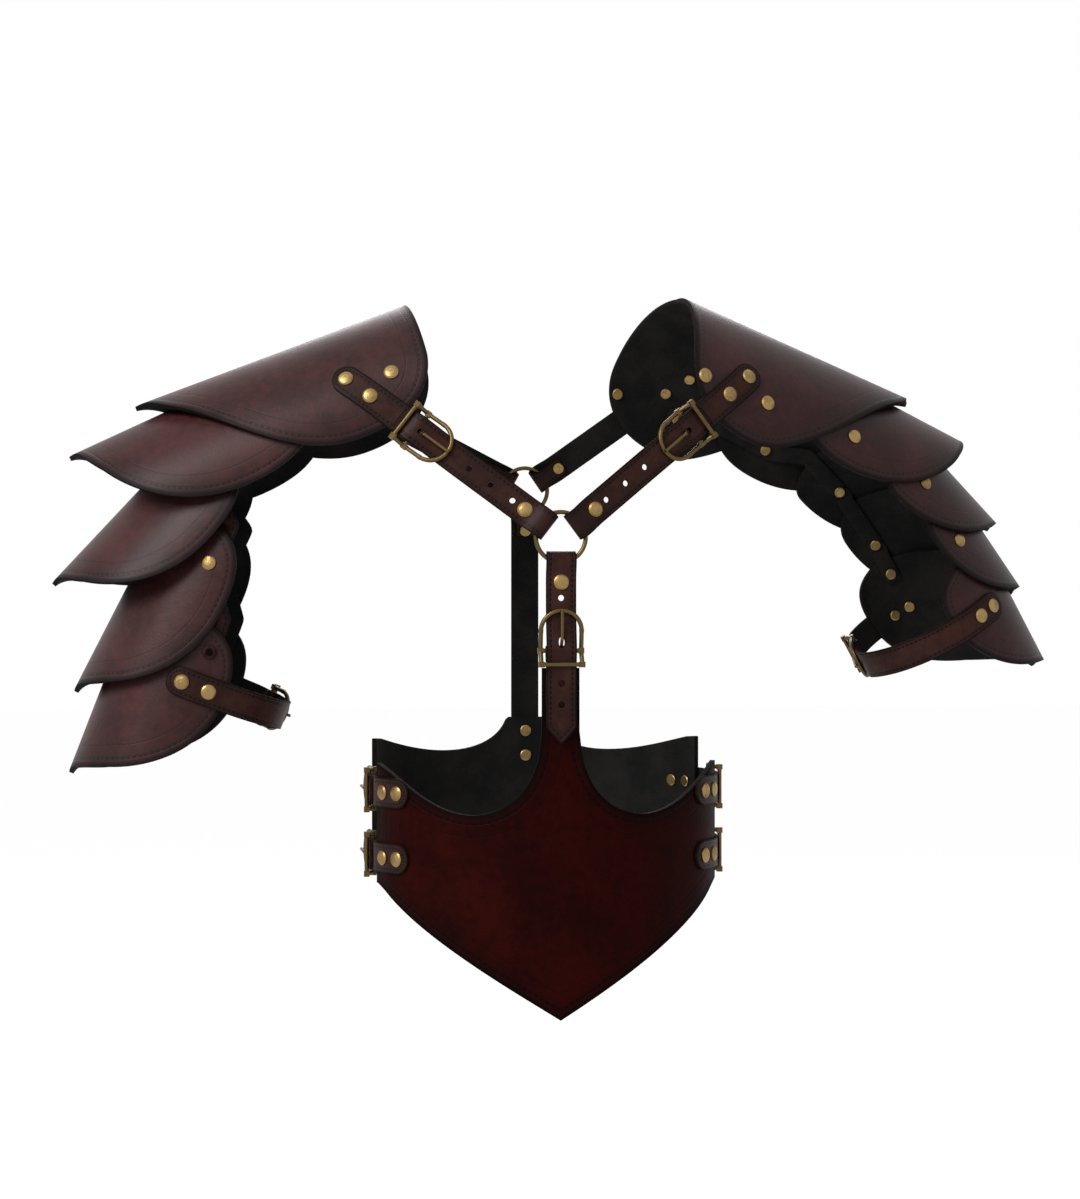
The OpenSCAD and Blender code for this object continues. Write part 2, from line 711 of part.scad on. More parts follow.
// arm straps round the lowest plate
arm_rivets = [[84, 101], [70.7, 83.4]];
arm_u = [90, 76];
arm_half = 28;
arm_mid = 155;
arm_last = [74, 62];
arm_r = plate_r(4) + seat;

module arm_frame(p) {
  plate_frame(p, 4) translate([0, 0, arm_u[p]]) rotate([0, 0, arm_mid]) children();
}

module arm_pins(p, s) { for (t = arm_rivets[p]) pin_hole(p, 4, arm_u[p], s * t); }

module arm_strap(p) {
  hand(p) color(leather_mid) difference() {
    arm_frame(p) belt_strap(arm_r, arm_half, 360 - arm_last[p] - arm_mid);
    arm_pins(p, 1);
  }
}

module arm_buckle_strap(p) {
  hand(p) color(leather_mid) difference() {
    arm_frame(p) belt_buckle_strap(arm_r, arm_half, arm_last[p] - arm_mid);
    arm_pins(p, -1);
  }
}

module arm_buckle(p) { hand(p) color(brass) arm_frame(p) flat_frame(arm_r, arm_half) buckle(belt_bar); }
module arm_tongue(p) { hand(p) color(brass) arm_frame(p) flat_frame(arm_r, arm_half) tongue(belt_bar); }

module harness_rivets() {
  color(brass) {
    for (p = [L, RT]) hand(p) {
      for (s = [-1, 1]) {
        if (!shared_rivet[p]) plate_rivet(p, 0, rivet_u[p][0], s * rivet_phi[p][0], spine_pile);
        plate_rivet(p, 0, neck_rivet[p][0], s * neck_rivet[p][1], plate_t + 0.3);
      }
      for (rear = [0, 1]) {
        for (x = cap_rivet_x) cap_strap_rivet(p, rear, x);
        strap_frame(p, rear) fold_rivet();
      }
      for (k = [0, 1], rear = [0, 1]) side_rivet_set(k, rear);
    }
    centre_frame() fold_rivet();
    back_frame() {
      fold_rivet();
      for (x = back_rivet_x) translate([x, 0, strap_t]) rivet(panel_t + strap_t + 0.3);
    }
  }
}

module fold_rivet() { translate([fold_rivet_x, 0, strap_t]) rivet(2 * strap_t + 0.1); }

cap(L);  // left_cap
cap(RT);  // right_cap
cap_spine_straps();
lame(L, 1);  // left_lame_2
spine(L, 1);  // left_spine_2
lame_rivets(L, 1);  // left_rivets_2
lame(L, 2);  // left_lame_3
spine(L, 2);  // left_spine_3
lame_rivets(L, 2);  // left_rivets_3
lame(L, 3);  // left_lame_4
spine(L, 3);  // left_spine_4
lame_rivets(L, 3);  // left_rivets_4
lame(L, 4);  // left_lame_5
spine(L, 4);  // left_spine_5
lame_rivets(L, 4);  // left_rivets_5
lame(RT, 1);  // right_lame_2
spine(RT, 1);  // right_spine_2
lame_rivets(RT, 1);  // right_rivets_2
lame(RT, 2);  // right_lame_3
spine(RT, 2);  // right_spine_3
lame_rivets(RT, 2);  // right_rivets_3
lame(RT, 3);  // right_lame_4
spine(RT, 3);  // right_spine_4
lame_rivets(RT, 3);  // right_rivets_4
lame(RT, 4);  // right_lame_5
spine(RT, 4);  // right_spine_5
lame_rivets(RT, 4);  // right_rivets_5
arm_strap(L);  // left_arm_strap
arm_buckle_strap(L);  // left_arm_buckle_strap
arm_buckle(L);  // left_arm_buckle
arm_tongue(L);  // left_arm_tongue
chest_strap(L);  // left_chest_strap
chest_buckle_strap(L);  // left_chest_buckle_strap
back_strap(L);  // left_back_strap
chest_tongue(L);  // left_chest_tongue
side_tongue(L, 0);  // left_upper_side_tongue
side_tongue(L, 1);  // left_lower_side_tongue
arm_strap(RT);  // right_arm_strap
arm_buckle_strap(RT);  // right_arm_buckle_strap
arm_buckle(RT);  // right_arm_buckle
arm_tongue(RT);  // right_arm_tongue
chest_strap(RT);  // right_chest_strap
chest_buckle_strap(RT);  // right_chest_buckle_strap
back_strap(RT);  // right_back_strap
chest_tongue(RT);  // right_chest_tongue
side_tongue(RT, 0);  // right_upper_side_tongue
side_tongue(RT, 1);  // right_lower_side_tongue
centre_chest_strap();
centre_chest_buckle_strap();
centre_chest_tongue();
centre_back_strap();
chest_buckles();
ring(0);  // front_ring
ring(1);  // back_ring
waist_front();
waist_back();
side_straps();
side_buckle_straps();
side_buckles();
harness_rivets();
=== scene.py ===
import json
from math import acos, asin, atan2, ceil, cos, degrees, pi, radians, sin, sqrt, tan

import bpy
import numpy as np
from bpy.props import FloatProperty, FloatVectorProperty, PointerProperty
from bpy.types import Operator, Panel, PropertyGroup
from mathutils import Matrix, Vector

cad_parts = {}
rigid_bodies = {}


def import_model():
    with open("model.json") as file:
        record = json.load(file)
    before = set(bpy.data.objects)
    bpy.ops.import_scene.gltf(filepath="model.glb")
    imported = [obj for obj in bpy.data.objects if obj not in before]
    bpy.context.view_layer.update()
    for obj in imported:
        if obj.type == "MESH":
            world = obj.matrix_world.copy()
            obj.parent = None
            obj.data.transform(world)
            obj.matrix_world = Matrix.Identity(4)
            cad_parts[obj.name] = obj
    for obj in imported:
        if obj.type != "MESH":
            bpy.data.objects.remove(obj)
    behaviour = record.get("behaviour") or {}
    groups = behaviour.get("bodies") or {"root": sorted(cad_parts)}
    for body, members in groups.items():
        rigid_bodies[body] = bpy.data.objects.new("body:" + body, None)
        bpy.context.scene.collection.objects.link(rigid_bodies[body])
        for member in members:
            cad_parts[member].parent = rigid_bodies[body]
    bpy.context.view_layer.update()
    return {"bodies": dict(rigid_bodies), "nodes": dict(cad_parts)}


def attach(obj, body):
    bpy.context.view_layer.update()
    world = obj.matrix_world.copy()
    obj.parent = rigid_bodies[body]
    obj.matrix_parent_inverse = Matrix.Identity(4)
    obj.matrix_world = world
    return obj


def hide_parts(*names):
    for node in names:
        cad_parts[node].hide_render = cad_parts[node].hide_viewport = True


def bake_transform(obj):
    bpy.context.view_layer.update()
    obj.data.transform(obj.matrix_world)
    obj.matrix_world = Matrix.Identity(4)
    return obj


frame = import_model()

bl_info = {
    "name": "Shoulder Armour Harness",
    "version": (1, 0, 0),
    "blender": (4, 5, 0),
    "location": "View3D > Sidebar > Harness",
    "description": "Dresses a pair of leather shoulder guards on a buckled harness",
    "category": "Object",
}

MM = 0.001
SIDES = ("left", "right")
LEFT, RIGHT = 0, 1

# the same sizes, in mm and degrees, as the solids; a pair of rows is for the left and the right side
PLATE_T, PANEL_T, STRAP_T = 3.2, 3.6, 1.8  # leather
STRAP_HALF, SPINE_HALF = 10, 6  # half widths
BAR_R, SEAT, SLIP = 1.65, 0.05, 0.15  # buckle bar, and the gaps between leather that lies together
MID = STRAP_T / 2  # height of a strap's middle
ON_TOP = STRAP_T + SEAT + MID  # the same where it lies on another strap
OVER_BAR = BAR_R + STRAP_T + SLIP + MID  # the same where it goes over a buckle bar
HOLE, PUNCH = 4, 9  # a hole's width, and the length of the tool that punches it
CORNER_CUT, SQUARE_ROUND, POINT_TURN = 4.2, 1.2, 42  # shapes of a strap's end
CAP_R, PLATE_STEP = 78.0, 4  # outer radius of the caps, and what each plate below has less
SWEEP = (5, 14)  # how far each side is turned back
# for each plate: slope of its crest, and how far out and how high the crest's lower tip is
TILT = ((20.8, 25, 47, 63, 69), (20, 23.5, 43, 52, 59))
REACH = ((191.1, 236.4, 248.1, 233, 236.4), (193.6, 236, 264.1, 283.9, 303.5))
LEVEL = ((315.2, 280.5, 193.1, 118.8, 62.8), (326.2, 296.8, 234.9, 186.7, 133.5))
# its outline: stretch along and round it, length at the corners and at the crest
LONG = ((1, 1.12, 1, 1, 0.92), (1, 1.12, 1.05, 0.95, 0.9))
TURN = ((1, 0.96, 0.9, 1, 1.2), (1.09, 0.96, 0.93, 0.9, 1.1))
LOBE = ((0, 166, 148, 148, 134), (0, 158, 122, 118, 118))
RIDGE = ((0, 122, 112, 112, 102), (0, 120, 110, 104, 100))
# its rivets, up from the tip and round from the crest
RIVET_U = ((150, 135, 126, 123, 115), (140, 114, 88, 81, 106))
RIVET_PHI = ((72, 72, 63, 74, 93), (78, 72, 66, 69, 72))
CAP_U = ((158.5, 160), (174, 160))  # where the chest and the back strap lie on the cap
ARM_U, ARM_LAST, BUCKLE_TURN = (90, 76), (74, 62), 155  # arm belts: level, riveted ends, buckle
FRONT_Y, WAIST_Y, BACK_Y = -105.0, -9.95, 85.1
RINGS = (Vector((0, FRONT_Y, 223)), Vector((0, BACK_Y, 262)))
RING_MID = 16.5  # radius to the middle of a ring's wire
FOLD_X, FOLD_R = 13.4, 3.4  # the bend of a strap round its ring
SIDE_R, SIDE_X, FRONT_C, FRONT_R = 80.0, 42.0, 51.3, 146.3  # arcs of the waist
NECK_HALF, PANEL_END = 12.5, 28.5  # neck of the waist front, and where the panels end at the sides
SIDE_LEVELS = (("upper", 52), ("lower", 8))
SIDE_FLAT, ARM_FLAT = 27, 28  # half length of the flat part of a belt, at its buckle
SIDE_LAST = 46.5  # riveted ends of a side belt, round from its buckle
CAP_RIVET_X = 8  # the left cap's strap rivet, past the start of the strap on the cap
PAST_TOUCH = 38  # length of a cap strap beyond where it meets the cap
CHEST_BAR, CENTRE_BAR, BELT_BAR = 120, 74.6, 6  # buckle bars, along their straps
CHEST_HOLES, CENTRE_HOLE, CENTRE_LAPPED_HOLES = (40, 58, 76, 94), 40, (96, 110)
CENTRE_END, CENTRE_BUCKLE_END, CENTRE_BACK_END = 136, 112, 202
CHEST_FOLD, BACK_FOLD = 8.8, 6.8  # half widths of the straps where they fold round a ring
FOLD_END, FOLD_EASE = 18, 14  # length of that width, and of the change to the full one
SPINE_IN = PLATE_T + STRAP_T
SPINE_END, CAP_SPINE_END, SPINE_FLEX = 6, 8, 3.6  # leather past a rivet, and the bend's place
EYELET_RIM, HOLE_SHADE_R = 7, 2.6  # radii; inside the second, the fastener's middle is painted near black, a painted shadow of the open hole

# the stage, in metres
FLOOR_Z = -0.30
FLOOR_GLOW, FLOOR_SHARE = 1.18, 0.8  # strength of the floor's white, and how much of it is seen
WORLD_LIGHT, WORLD_SEEN = 0.19, 1.0
LAMPS = (("key_light", (-1.5, -1.2, 1.4), 1.0, 42),
         ("fill_light", (1.4, -1.5, 0.9), 1.4, 0.8),
         ("back_light", (0.2, 1.6, 1.4), 1.2, 20))
LAMP_AIM = (0, 0, 0.18)
EYE, EYE_AIM, LENS = (-0.2219, -1.6855, 0.182), (0, 0, 0.182), 72.9


class HarnessSizes(PropertyGroup):
    plate_round: FloatProperty(name="Plate edge round", description="Rounding of the plates' cut edges",
                               default=0.0009, subtype="DISTANCE", unit="LENGTH")
    strap_round: FloatProperty(name="Strap edge round", description="Rounding of the straps' cut edges",
                               default=0.0003, subtype="DISTANCE", unit="LENGTH")
    stitch_in: FloatProperty(name="Plate stitch inset", description="Stitch line from the plate edge, mm",
                             default=5.6)
    crease_in: FloatProperty(name="Crease inset", description="Tooled crease from the plate edge, mm",
                             default=14.5)
    strap_stitch: FloatProperty(name="Strap stitch inset", description="Stitch line from the strap edge, mm",
                                default=2.8)
    plate_colour: FloatVectorProperty(name="Plate leather", description="Oxblood shoulder leather",
                                      subtype="COLOR", default=(0.040, 0.0115, 0.0112), min=0, max=1)
    waist_colour: FloatVectorProperty(name="Waist leather", description="Red-brown waist leather",
                                      subtype="COLOR", default=(0.020, 0.0014, 0.0008), min=0, max=1)
    strap_colour: FloatVectorProperty(name="Strap leather", description="Brown strap leather",
                                      subtype="COLOR", default=(0.036, 0.0125, 0.0092), min=0, max=1)
    brass_colour: FloatVectorProperty(name="Brass", description="Antiqued brass",
                                      subtype="COLOR", default=(0.32, 0.215, 0.085), min=0, max=1)


def sizes():
    return bpy.context.scene.harness_sizes


# placing: each side is laid out on the picture's right, and its left is mirrored
def plate_r(i):
    """Outer radius of a plate."""
    return CAP_R - PLATE_STEP * i


def along(p):
    """Level direction out from the neck, over the shoulder."""
    return Vector((cos(radians(SWEEP[p])), sin(radians(SWEEP[p])), 0))


def fore(p):
    """Level direction to the front, square to the one along the shoulder."""
    return Vector((sin(radians(SWEEP[p])), -cos(radians(SWEEP[p])), 0))


def down(p, i):
    """Direction of a plate's crest, down the arm."""
    t = radians(TILT[p][i])
    return cos(t) * along(p) - sin(t) * Vector((0, 0, 1))


def crest(p, i):
    """Direction out of the plate at its crest."""
    t = radians(TILT[p][i])
    return sin(t) * along(p) + cos(t) * Vector((0, 0, 1))


def axis_at(p, i, u):
    """The plate's axis, u up from its lower tip."""
    return Vector((90, 0, LEVEL[p][i])) + REACH[p][i] * along(p) - plate_r(i) * crest(p, i) - u * down(p, i)


def radial(p, i, phi):
    """Direction out of the plate, phi degrees round from its crest to the front."""
    return cos(radians(phi)) * crest(p, i) + sin(radians(phi)) * fore(p)


def on_plate(p, i, u, phi, r):
    return axis_at(p, i, u) + r * radial(p, i, phi)


def worn(p, v):
    """A point or direction on the side that is made."""
    return Vector((-v.x, v.y, v.z)) if p == LEFT else v.copy()


def wave(a, b, c, d, n):
    """A smooth curve from a to d, which b and c draw to them; d itself is left out."""
    out = []
    for k in range(n):
        t = k / n
        s = 1 - t
        out.append([s**3 * a[j] + 3 * s * s * t * b[j] + 3 * s * t * t * c[j] + t**3 * d[j] for j in (0, 1)])
    return out


def plate_line(p, i):
    """Half outline of a plate: from the tip at the crest round to the crest again."""
    q = TURN[p][i]
    if i == 0:
        return (wave([0, 0], [9, 8], [16, 26], [30, 36], 24)
                + wave([30, 36], [62, 122 - 60 * q], [130 * q - 38, 92 * q], [140, 92 * q], 30)
                + wave([140, 92 * q], [176, 92 * q], [196, 80 * q], [200, 62 * q], 24)
                + wave([200, 62 * q], [203, 40 * q], [201, 20], [198, 0], 18) + [[198, 0]])
    s, e, g = LONG[p][i], LOBE[p][i], RIDGE[p][i]
    return (wave([0, 0], [6 * s, 7 * q], [11 * s, 32 * q], [20 * s, 47 * q], 24)
            + wave([20 * s, 47 * q], [33 * s, 76 * q], [62 * s, 94 * q], [98 * s, 94 * q], 30)
            + wave([98 * s, 94 * q], [98 * s + (e - 98 * s) * 0.6, 94 * q], [e - 5, 86 * q], [e, 70 * q], 24)
            + wave([e, 70 * q], [e - 4, 36 * q], [g, 22], [g, 0], 18) + [[g, 0]])


# making sheets of leather
def nothing_selected():
    if bpy.context.mode != "OBJECT":
        bpy.ops.object.mode_set(mode="OBJECT")
    bpy.ops.object.select_all(action="DESELECT")


def edge_and_run(flat, outline):
    """Distance to the cut edge, and how far along the edge, of each point of the flat leather."""
    f = np.array(flat)[:, None, :]
    a = np.array(outline)
    d = np.roll(a, -1, axis=0) - a
    l2 = (d**2).sum(1) + 1e-12
    before = np.concatenate([[0], np.cumsum(np.sqrt(l2))[:-1]])
    t = np.clip(((f - a) * d).sum(2) / l2, 0, 1)
    gap = np.sqrt((((a + t[..., None] * d) - f) ** 2).sum(2))
    k = gap.argmin(1)
    rows = np.arange(len(k))
    return gap[rows, k], before[k] + t[rows, k] * np.sqrt(l2[k])


def laid_sheet(name, wide, long, place, outline, outward, p=RIGHT):
    """A grid whose points are laid over the form; place gives the point and its spot on the flat leather."""
    nothing_selected()
    bpy.ops.mesh.primitive_grid_add(x_subdivisions=wide, y_subdivisions=long, size=2)
    piece = bpy.context.object
    piece.name = name
    flat = []
    for v in piece.data.vertices:
        spot, spread = place(round((v.co.x + 1) / 2 * wide), round((v.co.y + 1) / 2 * long))
        v.co = worn(p, Vector(spot)) * MM
        flat.append(spread)
    edge, run = edge_and_run(flat, outline)
    for label, values in (("edge", edge), ("run", run)):
        column = piece.data.attributes.new(label, "FLOAT", "POINT")
        column.data.foreach_set("value", values.astype(np.float32))
    piece.data.update()
    mid = piece.data.polygons[(long // 2) * wide + wide // 2]
    if mid.normal.dot(worn(p, Vector(outward))) < 0:
        bpy.ops.object.mode_set(mode="EDIT")
        bpy.ops.mesh.select_all(action="SELECT")
        bpy.ops.mesh.flip_normals()
        bpy.ops.object.mode_set(mode="OBJECT")
    return piece


def apply_all(piece):
    """Applies the modifiers of a piece."""
    bpy.context.view_layer.objects.active = piece
    for m in list(piece.modifiers):
        bpy.ops.object.modifier_apply(modifier=m.name)


def thicken(piece, thick, finishes, rounding, holes=()):
    """Gives the sheet its thickness, punches its holes and rounds its cut edges."""
    nothing_selected()
    piece.select_set(True)
    bpy.context.view_layer.objects.active = piece
    for f in finishes:
        piece.data.materials.append(finish(f))
    wall = piece.modifiers.new("wall", "SOLIDIFY")
    wall.thickness = thick * MM
    wall.offset = 0
    wall.material_offset, wall.material_offset_rim = 1, 2
    apply_all(piece)
    if holes:
        cut = punches(piece.name + "_punches", holes)
        knife = piece.modifiers.new("punch", "BOOLEAN")
        knife.operation, knife.object, knife.solver = "DIFFERENCE", cut, "EXACT"
        apply_all(piece)
        bpy.data.objects.remove(cut)
    soft = piece.modifiers.new("edge", "BEVEL")
    soft.width = rounding
    soft.segments, soft.limit_method, soft.angle_limit = 2, "ANGLE", radians(50)
    apply_all(piece)
    nothing_selected()
    piece.select_set(True)
    bpy.context.view_layer.objects.active = piece
    bpy.ops.object.shade_smooth_by_angle(angle=radians(40))
    return piece


def punches(name, holes):
    """Cutters for the holes: each is a place, a direction along the strap, one through it, and its sizes."""
    made = []
    for at, run, through, long, wide in holes:
        nothing_selected()
        bpy.ops.mesh.primitive_cylinder_add(radius=0.5, depth=1, vertices=28)
        o = bpy.context.object
        x, z = run.normalized(), through.normalized()
        y = z.cross(x)
        turn = Matrix((x, y, z)).transposed().to_4x4()
        size = Matrix.Diagonal((long * MM, wide * MM, PUNCH * MM, 1))
        o.matrix_world = Matrix.Translation(at * MM) @ turn @ size
        made.append(o)
    nothing_selected()
    for o in made:
        o.select_set(True)
    bpy.context.view_layer.objects.active = made[0]
    if len(made) > 1:
        bpy.ops.object.join()
    bpy.ops.object.transform_apply(location=True, rotation=True, scale=True)
    made[0].name = name
    return made[0]


def hang(piece, body, slot, *nodes):
    """Says what a piece rides on and the solids it stands for; the slot is not used."""
    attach(piece, body)
    if nodes:
        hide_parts(*nodes)
    return piece


# shoulder plates
def plate_piece(p, i):
    line = np.array(plate_line(p, i))
    r = plate_r(i)
    peak = int(line[:, 1].argmax())
    rise, fall = line[: peak + 1], line[peak:][::-1]
    top = line[peak, 1]
    wide, long = 96, 64
    turn = [top * 0.9995 * sin(pi / 2 * (2 * k / wide - 1)) for k in range(wide + 1)]
    low = [float(np.interp(abs(t), rise[:, 1], rise[:, 0])) for t in turn]
    high = [float(np.interp(abs(t), fall[:, 1], fall[:, 0])) for t in turn]

    def place(a, b):
        u = low[a] + (high[a] - low[a]) * b / long
        return on_plate(p, i, u, turn[a], r - PLATE_T / 2), (radians(turn[a]) * r, u)

    half = [[radians(v) * r, u] for u, v in line]
    outline = half + [[-x, u] for x, u in half[::-1]]
    node = SIDES[p] + ("_cap" if i == 0 else "_lame_%d" % (i + 1))
    piece = laid_sheet(SIDES[p] + "_plate_leather_%d" % (i + 1), wide, long, place, outline, crest(p, i), p)
    thicken(piece, PLATE_T, ("plate_grain", "flesh", "burnished"), sizes().plate_round)
    body = "harness" if i == 0 else SIDES[p] + "_plate_%d" % (i + 1)
    return hang(piece, body, "plate_leather", node)


class HARNESS_OT_plates(Operator):
    """Make the ten curved shoulder plates"""
    bl_idname = "harness.plates"
    bl_label = "Shoulder plates"

    def execute(self, context):
        for p in (LEFT, RIGHT):
            for i in range(5):
                plate_piece(p, i)
        return {"FINISHED"}


# waist panels on a four-arc oval
def oval(s, inset):
    """Place on the waist oval, s round from the middle of the front."""
    j = atan2(SIDE_X, FRONT_C)
    t = abs(s)
    if t < FRONT_R * j:
        a = t / FRONT_R
        x, y = (FRONT_R - inset) * sin(a), FRONT_C - (FRONT_R - inset) * cos(a)
    else:
        a = j + (t - FRONT_R * j) / SIDE_R
        x, y = SIDE_X + (SIDE_R - inset) * sin(a), -(SIDE_R - inset) * cos(a)
    return (x if s > 0 else -x), y


WAIST_TOP = ([[0, 137], [NECK_HALF, 137]] + wave([NECK_HALF + 0.001, 96], [13, 58], [34, 40], [58, 39.5], 30)
             + wave([58, 39.5], [84, 40], [100, 60], [118, 72], 24) + [[118, 72], [140, 74]])
WAIST_LOW = wave([112, -14], [92, -40], [40, -70], [0, -95], 40)[::-1] + [[112, -14], [116, -10], [140, -6]]
WAIST_LOW[0] = [0, -95]  # the point itself
BACK_TOP = [[0, 96]] + wave([14, 96], [22, 72], [60, 64], [112, 84], 30) + [[112, 84], [140, 88]]
BACK_LOW = [[0, -28]] + wave([124, -10], [80, -12], [30, -20], [0, -28], 30)[::-1] + [[140, -10]]


def panel_piece(name, node, top, low, rear):
    j = atan2(SIDE_X, FRONT_C)
    reach = FRONT_R * j + SIDE_R * (acos(PANEL_END / SIDE_R) - j)
    step = FRONT_R * asin(NECK_HALF / FRONT_R)
    side = [step + 0.02 + (reach - step - 0.02) * (k / 60) for k in range(61)]
    across = [-s for s in side[::-1]] + [-step + step * k / 6 for k in range(13)] + side
    wide, long = len(across) - 1, 64
    top, low = np.array(top), np.array(low)

    def spans(s):
        x = abs(oval(s, 0)[0])
        return float(np.interp(x, low[:, 0], low[:, 1])), float(np.interp(x, top[:, 0], top[:, 1]))

    def place(a, b):
        s = across[a]
        x, y = oval(s, PANEL_T / 2)
        lo, hi = spans(s)
        z = lo + (hi - lo) * b / long
        return (x, WAIST_Y + (-y if rear else y), z), (s, z)

    outline = [[s, spans(s)[0]] for s in across] + [[s, spans(s)[1]] for s in across[::-1]]
    piece = laid_sheet(name, wide, long, place, outline, (0, 1 if rear else -1, 0))
    thicken(piece, PANEL_T, ("waist_grain", "flesh", "burnished"), sizes().plate_round)
    return hang(piece, "harness", "plate_leather", node)


class HARNESS_OT_waist(Operator):
    """Make the pointed waist front and the back panel"""
    bl_idname = "harness.waist"
    bl_label = "Waist panels"

    def execute(self, context):
        panel_piece("waist_front_leather", "waist_front", WAIST_TOP, WAIST_LOW, False)
        panel_piece("waist_back_leather", "waist_back", BACK_TOP, BACK_LOW, True)
        return {"FINISHED"}


# straps: a path in the strap's own frame, x along it and z away from the body
def frame_at(o, x, z):
    """Turns strap sizes into places: x along the strap, z out of it."""
    x = Vector(x).normalized()
    z = Vector(z)
    z = (z - z.dot(x) * x).normalized()
    y = z.cross(x)
    return lambda a, b, c: Vector(o) + a * x + b * y + c * z


def rounded_path(points, times=3):
    """Cuts the corners of the path until it is smooth."""
    pts = [Vector(q) for q in points]
    for _ in range(times):
        out = [pts[0]]
        for a, b in zip(pts, pts[1:]):
            out += [a.lerp(b, 0.25), a.lerp(b, 0.75)]
        pts = out + [pts[-1]]
    return np.array([[v.x, v.y] for v in pts])


def strap_piece(name, points, spot, half, p=RIGHT, start="square", end="square", holes=(), slots=(),
                step=1.6, across=8, smooth=3, width=None):
    """Lays a ribbon along the path; spot(x, y, z) is its place, half its half width."""
    path = rounded_path(points, smooth)
    seg = np.sqrt((np.diff(path, axis=0) ** 2).sum(1))
    at = np.concatenate([[0], np.cumsum(seg)])
    total = float(at[-1])
    rounds = [half * (1 - cos(radians(k * 9))) for k in range(1, 10)]
    pieces = ceil(total / step)
    marks = {round(total * k / pieces, 4) for k in range(pieces)} | {total}
    if start != "square":
        marks = {m for m in marks if m > half} | {0.0} | {round(r, 4) for r in rounds}
    if end != "square":
        marks = {m for m in marks if m < total - half} | {total} | {round(total - r, 4) for r in rounds}
    marks = sorted(marks)

    def wide_at(s):
        w = width(s) if width else half
        for kind, d in ((start, s), (end, total - s)):
            if kind == "round" and d < half:
                w = min(w, sqrt(max(half * half - (half - d) ** 2, 0.04)))
            elif kind == "point":
                w = min(w, 0.3 + d * tan(radians(POINT_TURN)))
            elif kind == "corner":
                w = min(w, half - CORNER_CUT + d)
            elif kind == "square" and d < SQUARE_ROUND:
                round_off = max(SQUARE_ROUND**2 - (SQUARE_ROUND - d) ** 2, 0)
                w = min(w, half - SQUARE_ROUND + sqrt(round_off))
        return w

    xs = np.interp(marks, at, path[:, 0])
    zs = np.interp(marks, at, path[:, 1])

    def place(a, b):
        y = wide_at(marks[b]) * (2 * a / across - 1)
        return spot(float(xs[b]), y, float(zs[b])), (y, marks[b])

    edge = [[wide_at(s), s] for s in marks]
    outline = [[-w, s] for w, s in edge] + [[w, s] for w, s in edge[::-1]]
    k = len(marks) // 2
    dx, dz = xs[k + 1] - xs[k - 1], zs[k + 1] - zs[k - 1]
    here = spot(float(xs[k]), 0, float(zs[k]))
    out = spot(float(xs[k] - dz), 0, float(zs[k] + dx)) - here
    piece = laid_sheet(name, across, len(marks) - 1, place, outline, out, p)
    cuts = []
    for x, z, long, wide in [(x, z, HOLE, HOLE) for x, z in holes] + list(slots):
        here = spot(x, 0, z)
        run = spot(x + 1, 0, z) - here
        through = spot(x, 0, z + 1) - here
        cuts.append((worn(p, here), worn(p, run), worn(p, through), long, wide))
    return thicken(piece, STRAP_T, ("strap_grain", "flesh", "strap_rim"), sizes().strap_round, cuts)


def harness_strap(node, points, spot, p=RIGHT, **shape):
    """A strap of the chest or the back, in place of the solid of that name."""
    piece = strap_piece(node + "_leather", points, spot, STRAP_HALF, p, **shape)
    return hang(piece, "harness", "strap_leather", node)


def half_turn(x, r):
    """The inner half of a circle round x, from below it to above it."""
    return [(x - r * sin(a), -r * cos(a)) for a in (k * pi / 8 for k in range(9))]


def ring_fold_path():
    """Under return, round the ring and out along the strap."""
    turn = half_turn(FOLD_X, FOLD_R)
    return [(34, -MID), (25, -MID), (18.4, -3.2)] + turn + [(18.4, 3.2), (25, MID), (34, MID)]


def over_bar_path(bar, end):
    """Along the strap, up over the folded buckle strap and down onto it."""
    return [(bar - 22, MID), (bar - 3, OVER_BAR), (bar + 1.5, OVER_BAR), (bar + 8, ON_TOP), (end, ON_TOP)]


def bar_fold_path(bar, end):
    """Feathered return, round the buckle bar and out along the strap."""
    return [(bar + 8.6, -0.2)] + half_turn(bar, BAR_R + MID) + [(bar + 7, MID), (end, MID)]


def lift_slot(bar):
    """The hole that the tongue goes through, long enough for its swing."""
    return (bar - 5.6, OVER_BAR, 7.4, HOLE)


def fold_width(narrow):
    """Half width of a strap that is trimmed where it folds round a ring."""
    return lambda s: narrow + (STRAP_HALF - narrow) * min(max((s - FOLD_END) / FOLD_EASE, 0), 1)


# the strap frames that run from a ring to the cap
def face(p, rear):
    return -fore(p) if rear else fore(p)


def out_at(p, rear, phi):
    return cos(phi) * crest(p, 0) + sin(phi) * face(p, rear)


def round_at(p, rear, phi):
    return cos(phi) * face(p, rear) - sin(phi) * crest(p, 0)


def turn_to(p, rear, q):
    """How far round the cap a straight line from q touches it."""
    w = q - axis_at(p, 0, 0)
    a, b = w.dot(crest(p, 0)), w.dot(face(p, rear))
    return atan2(b, a) - acos((CAP_R + SEAT) / sqrt(a * a + b * b))


def touch(p, rear, q):
    """Where it touches."""
    return axis_at(p, 0, CAP_U[p][rear]) + (CAP_R + SEAT) * out_at(p, rear, turn_to(p, rear, q))


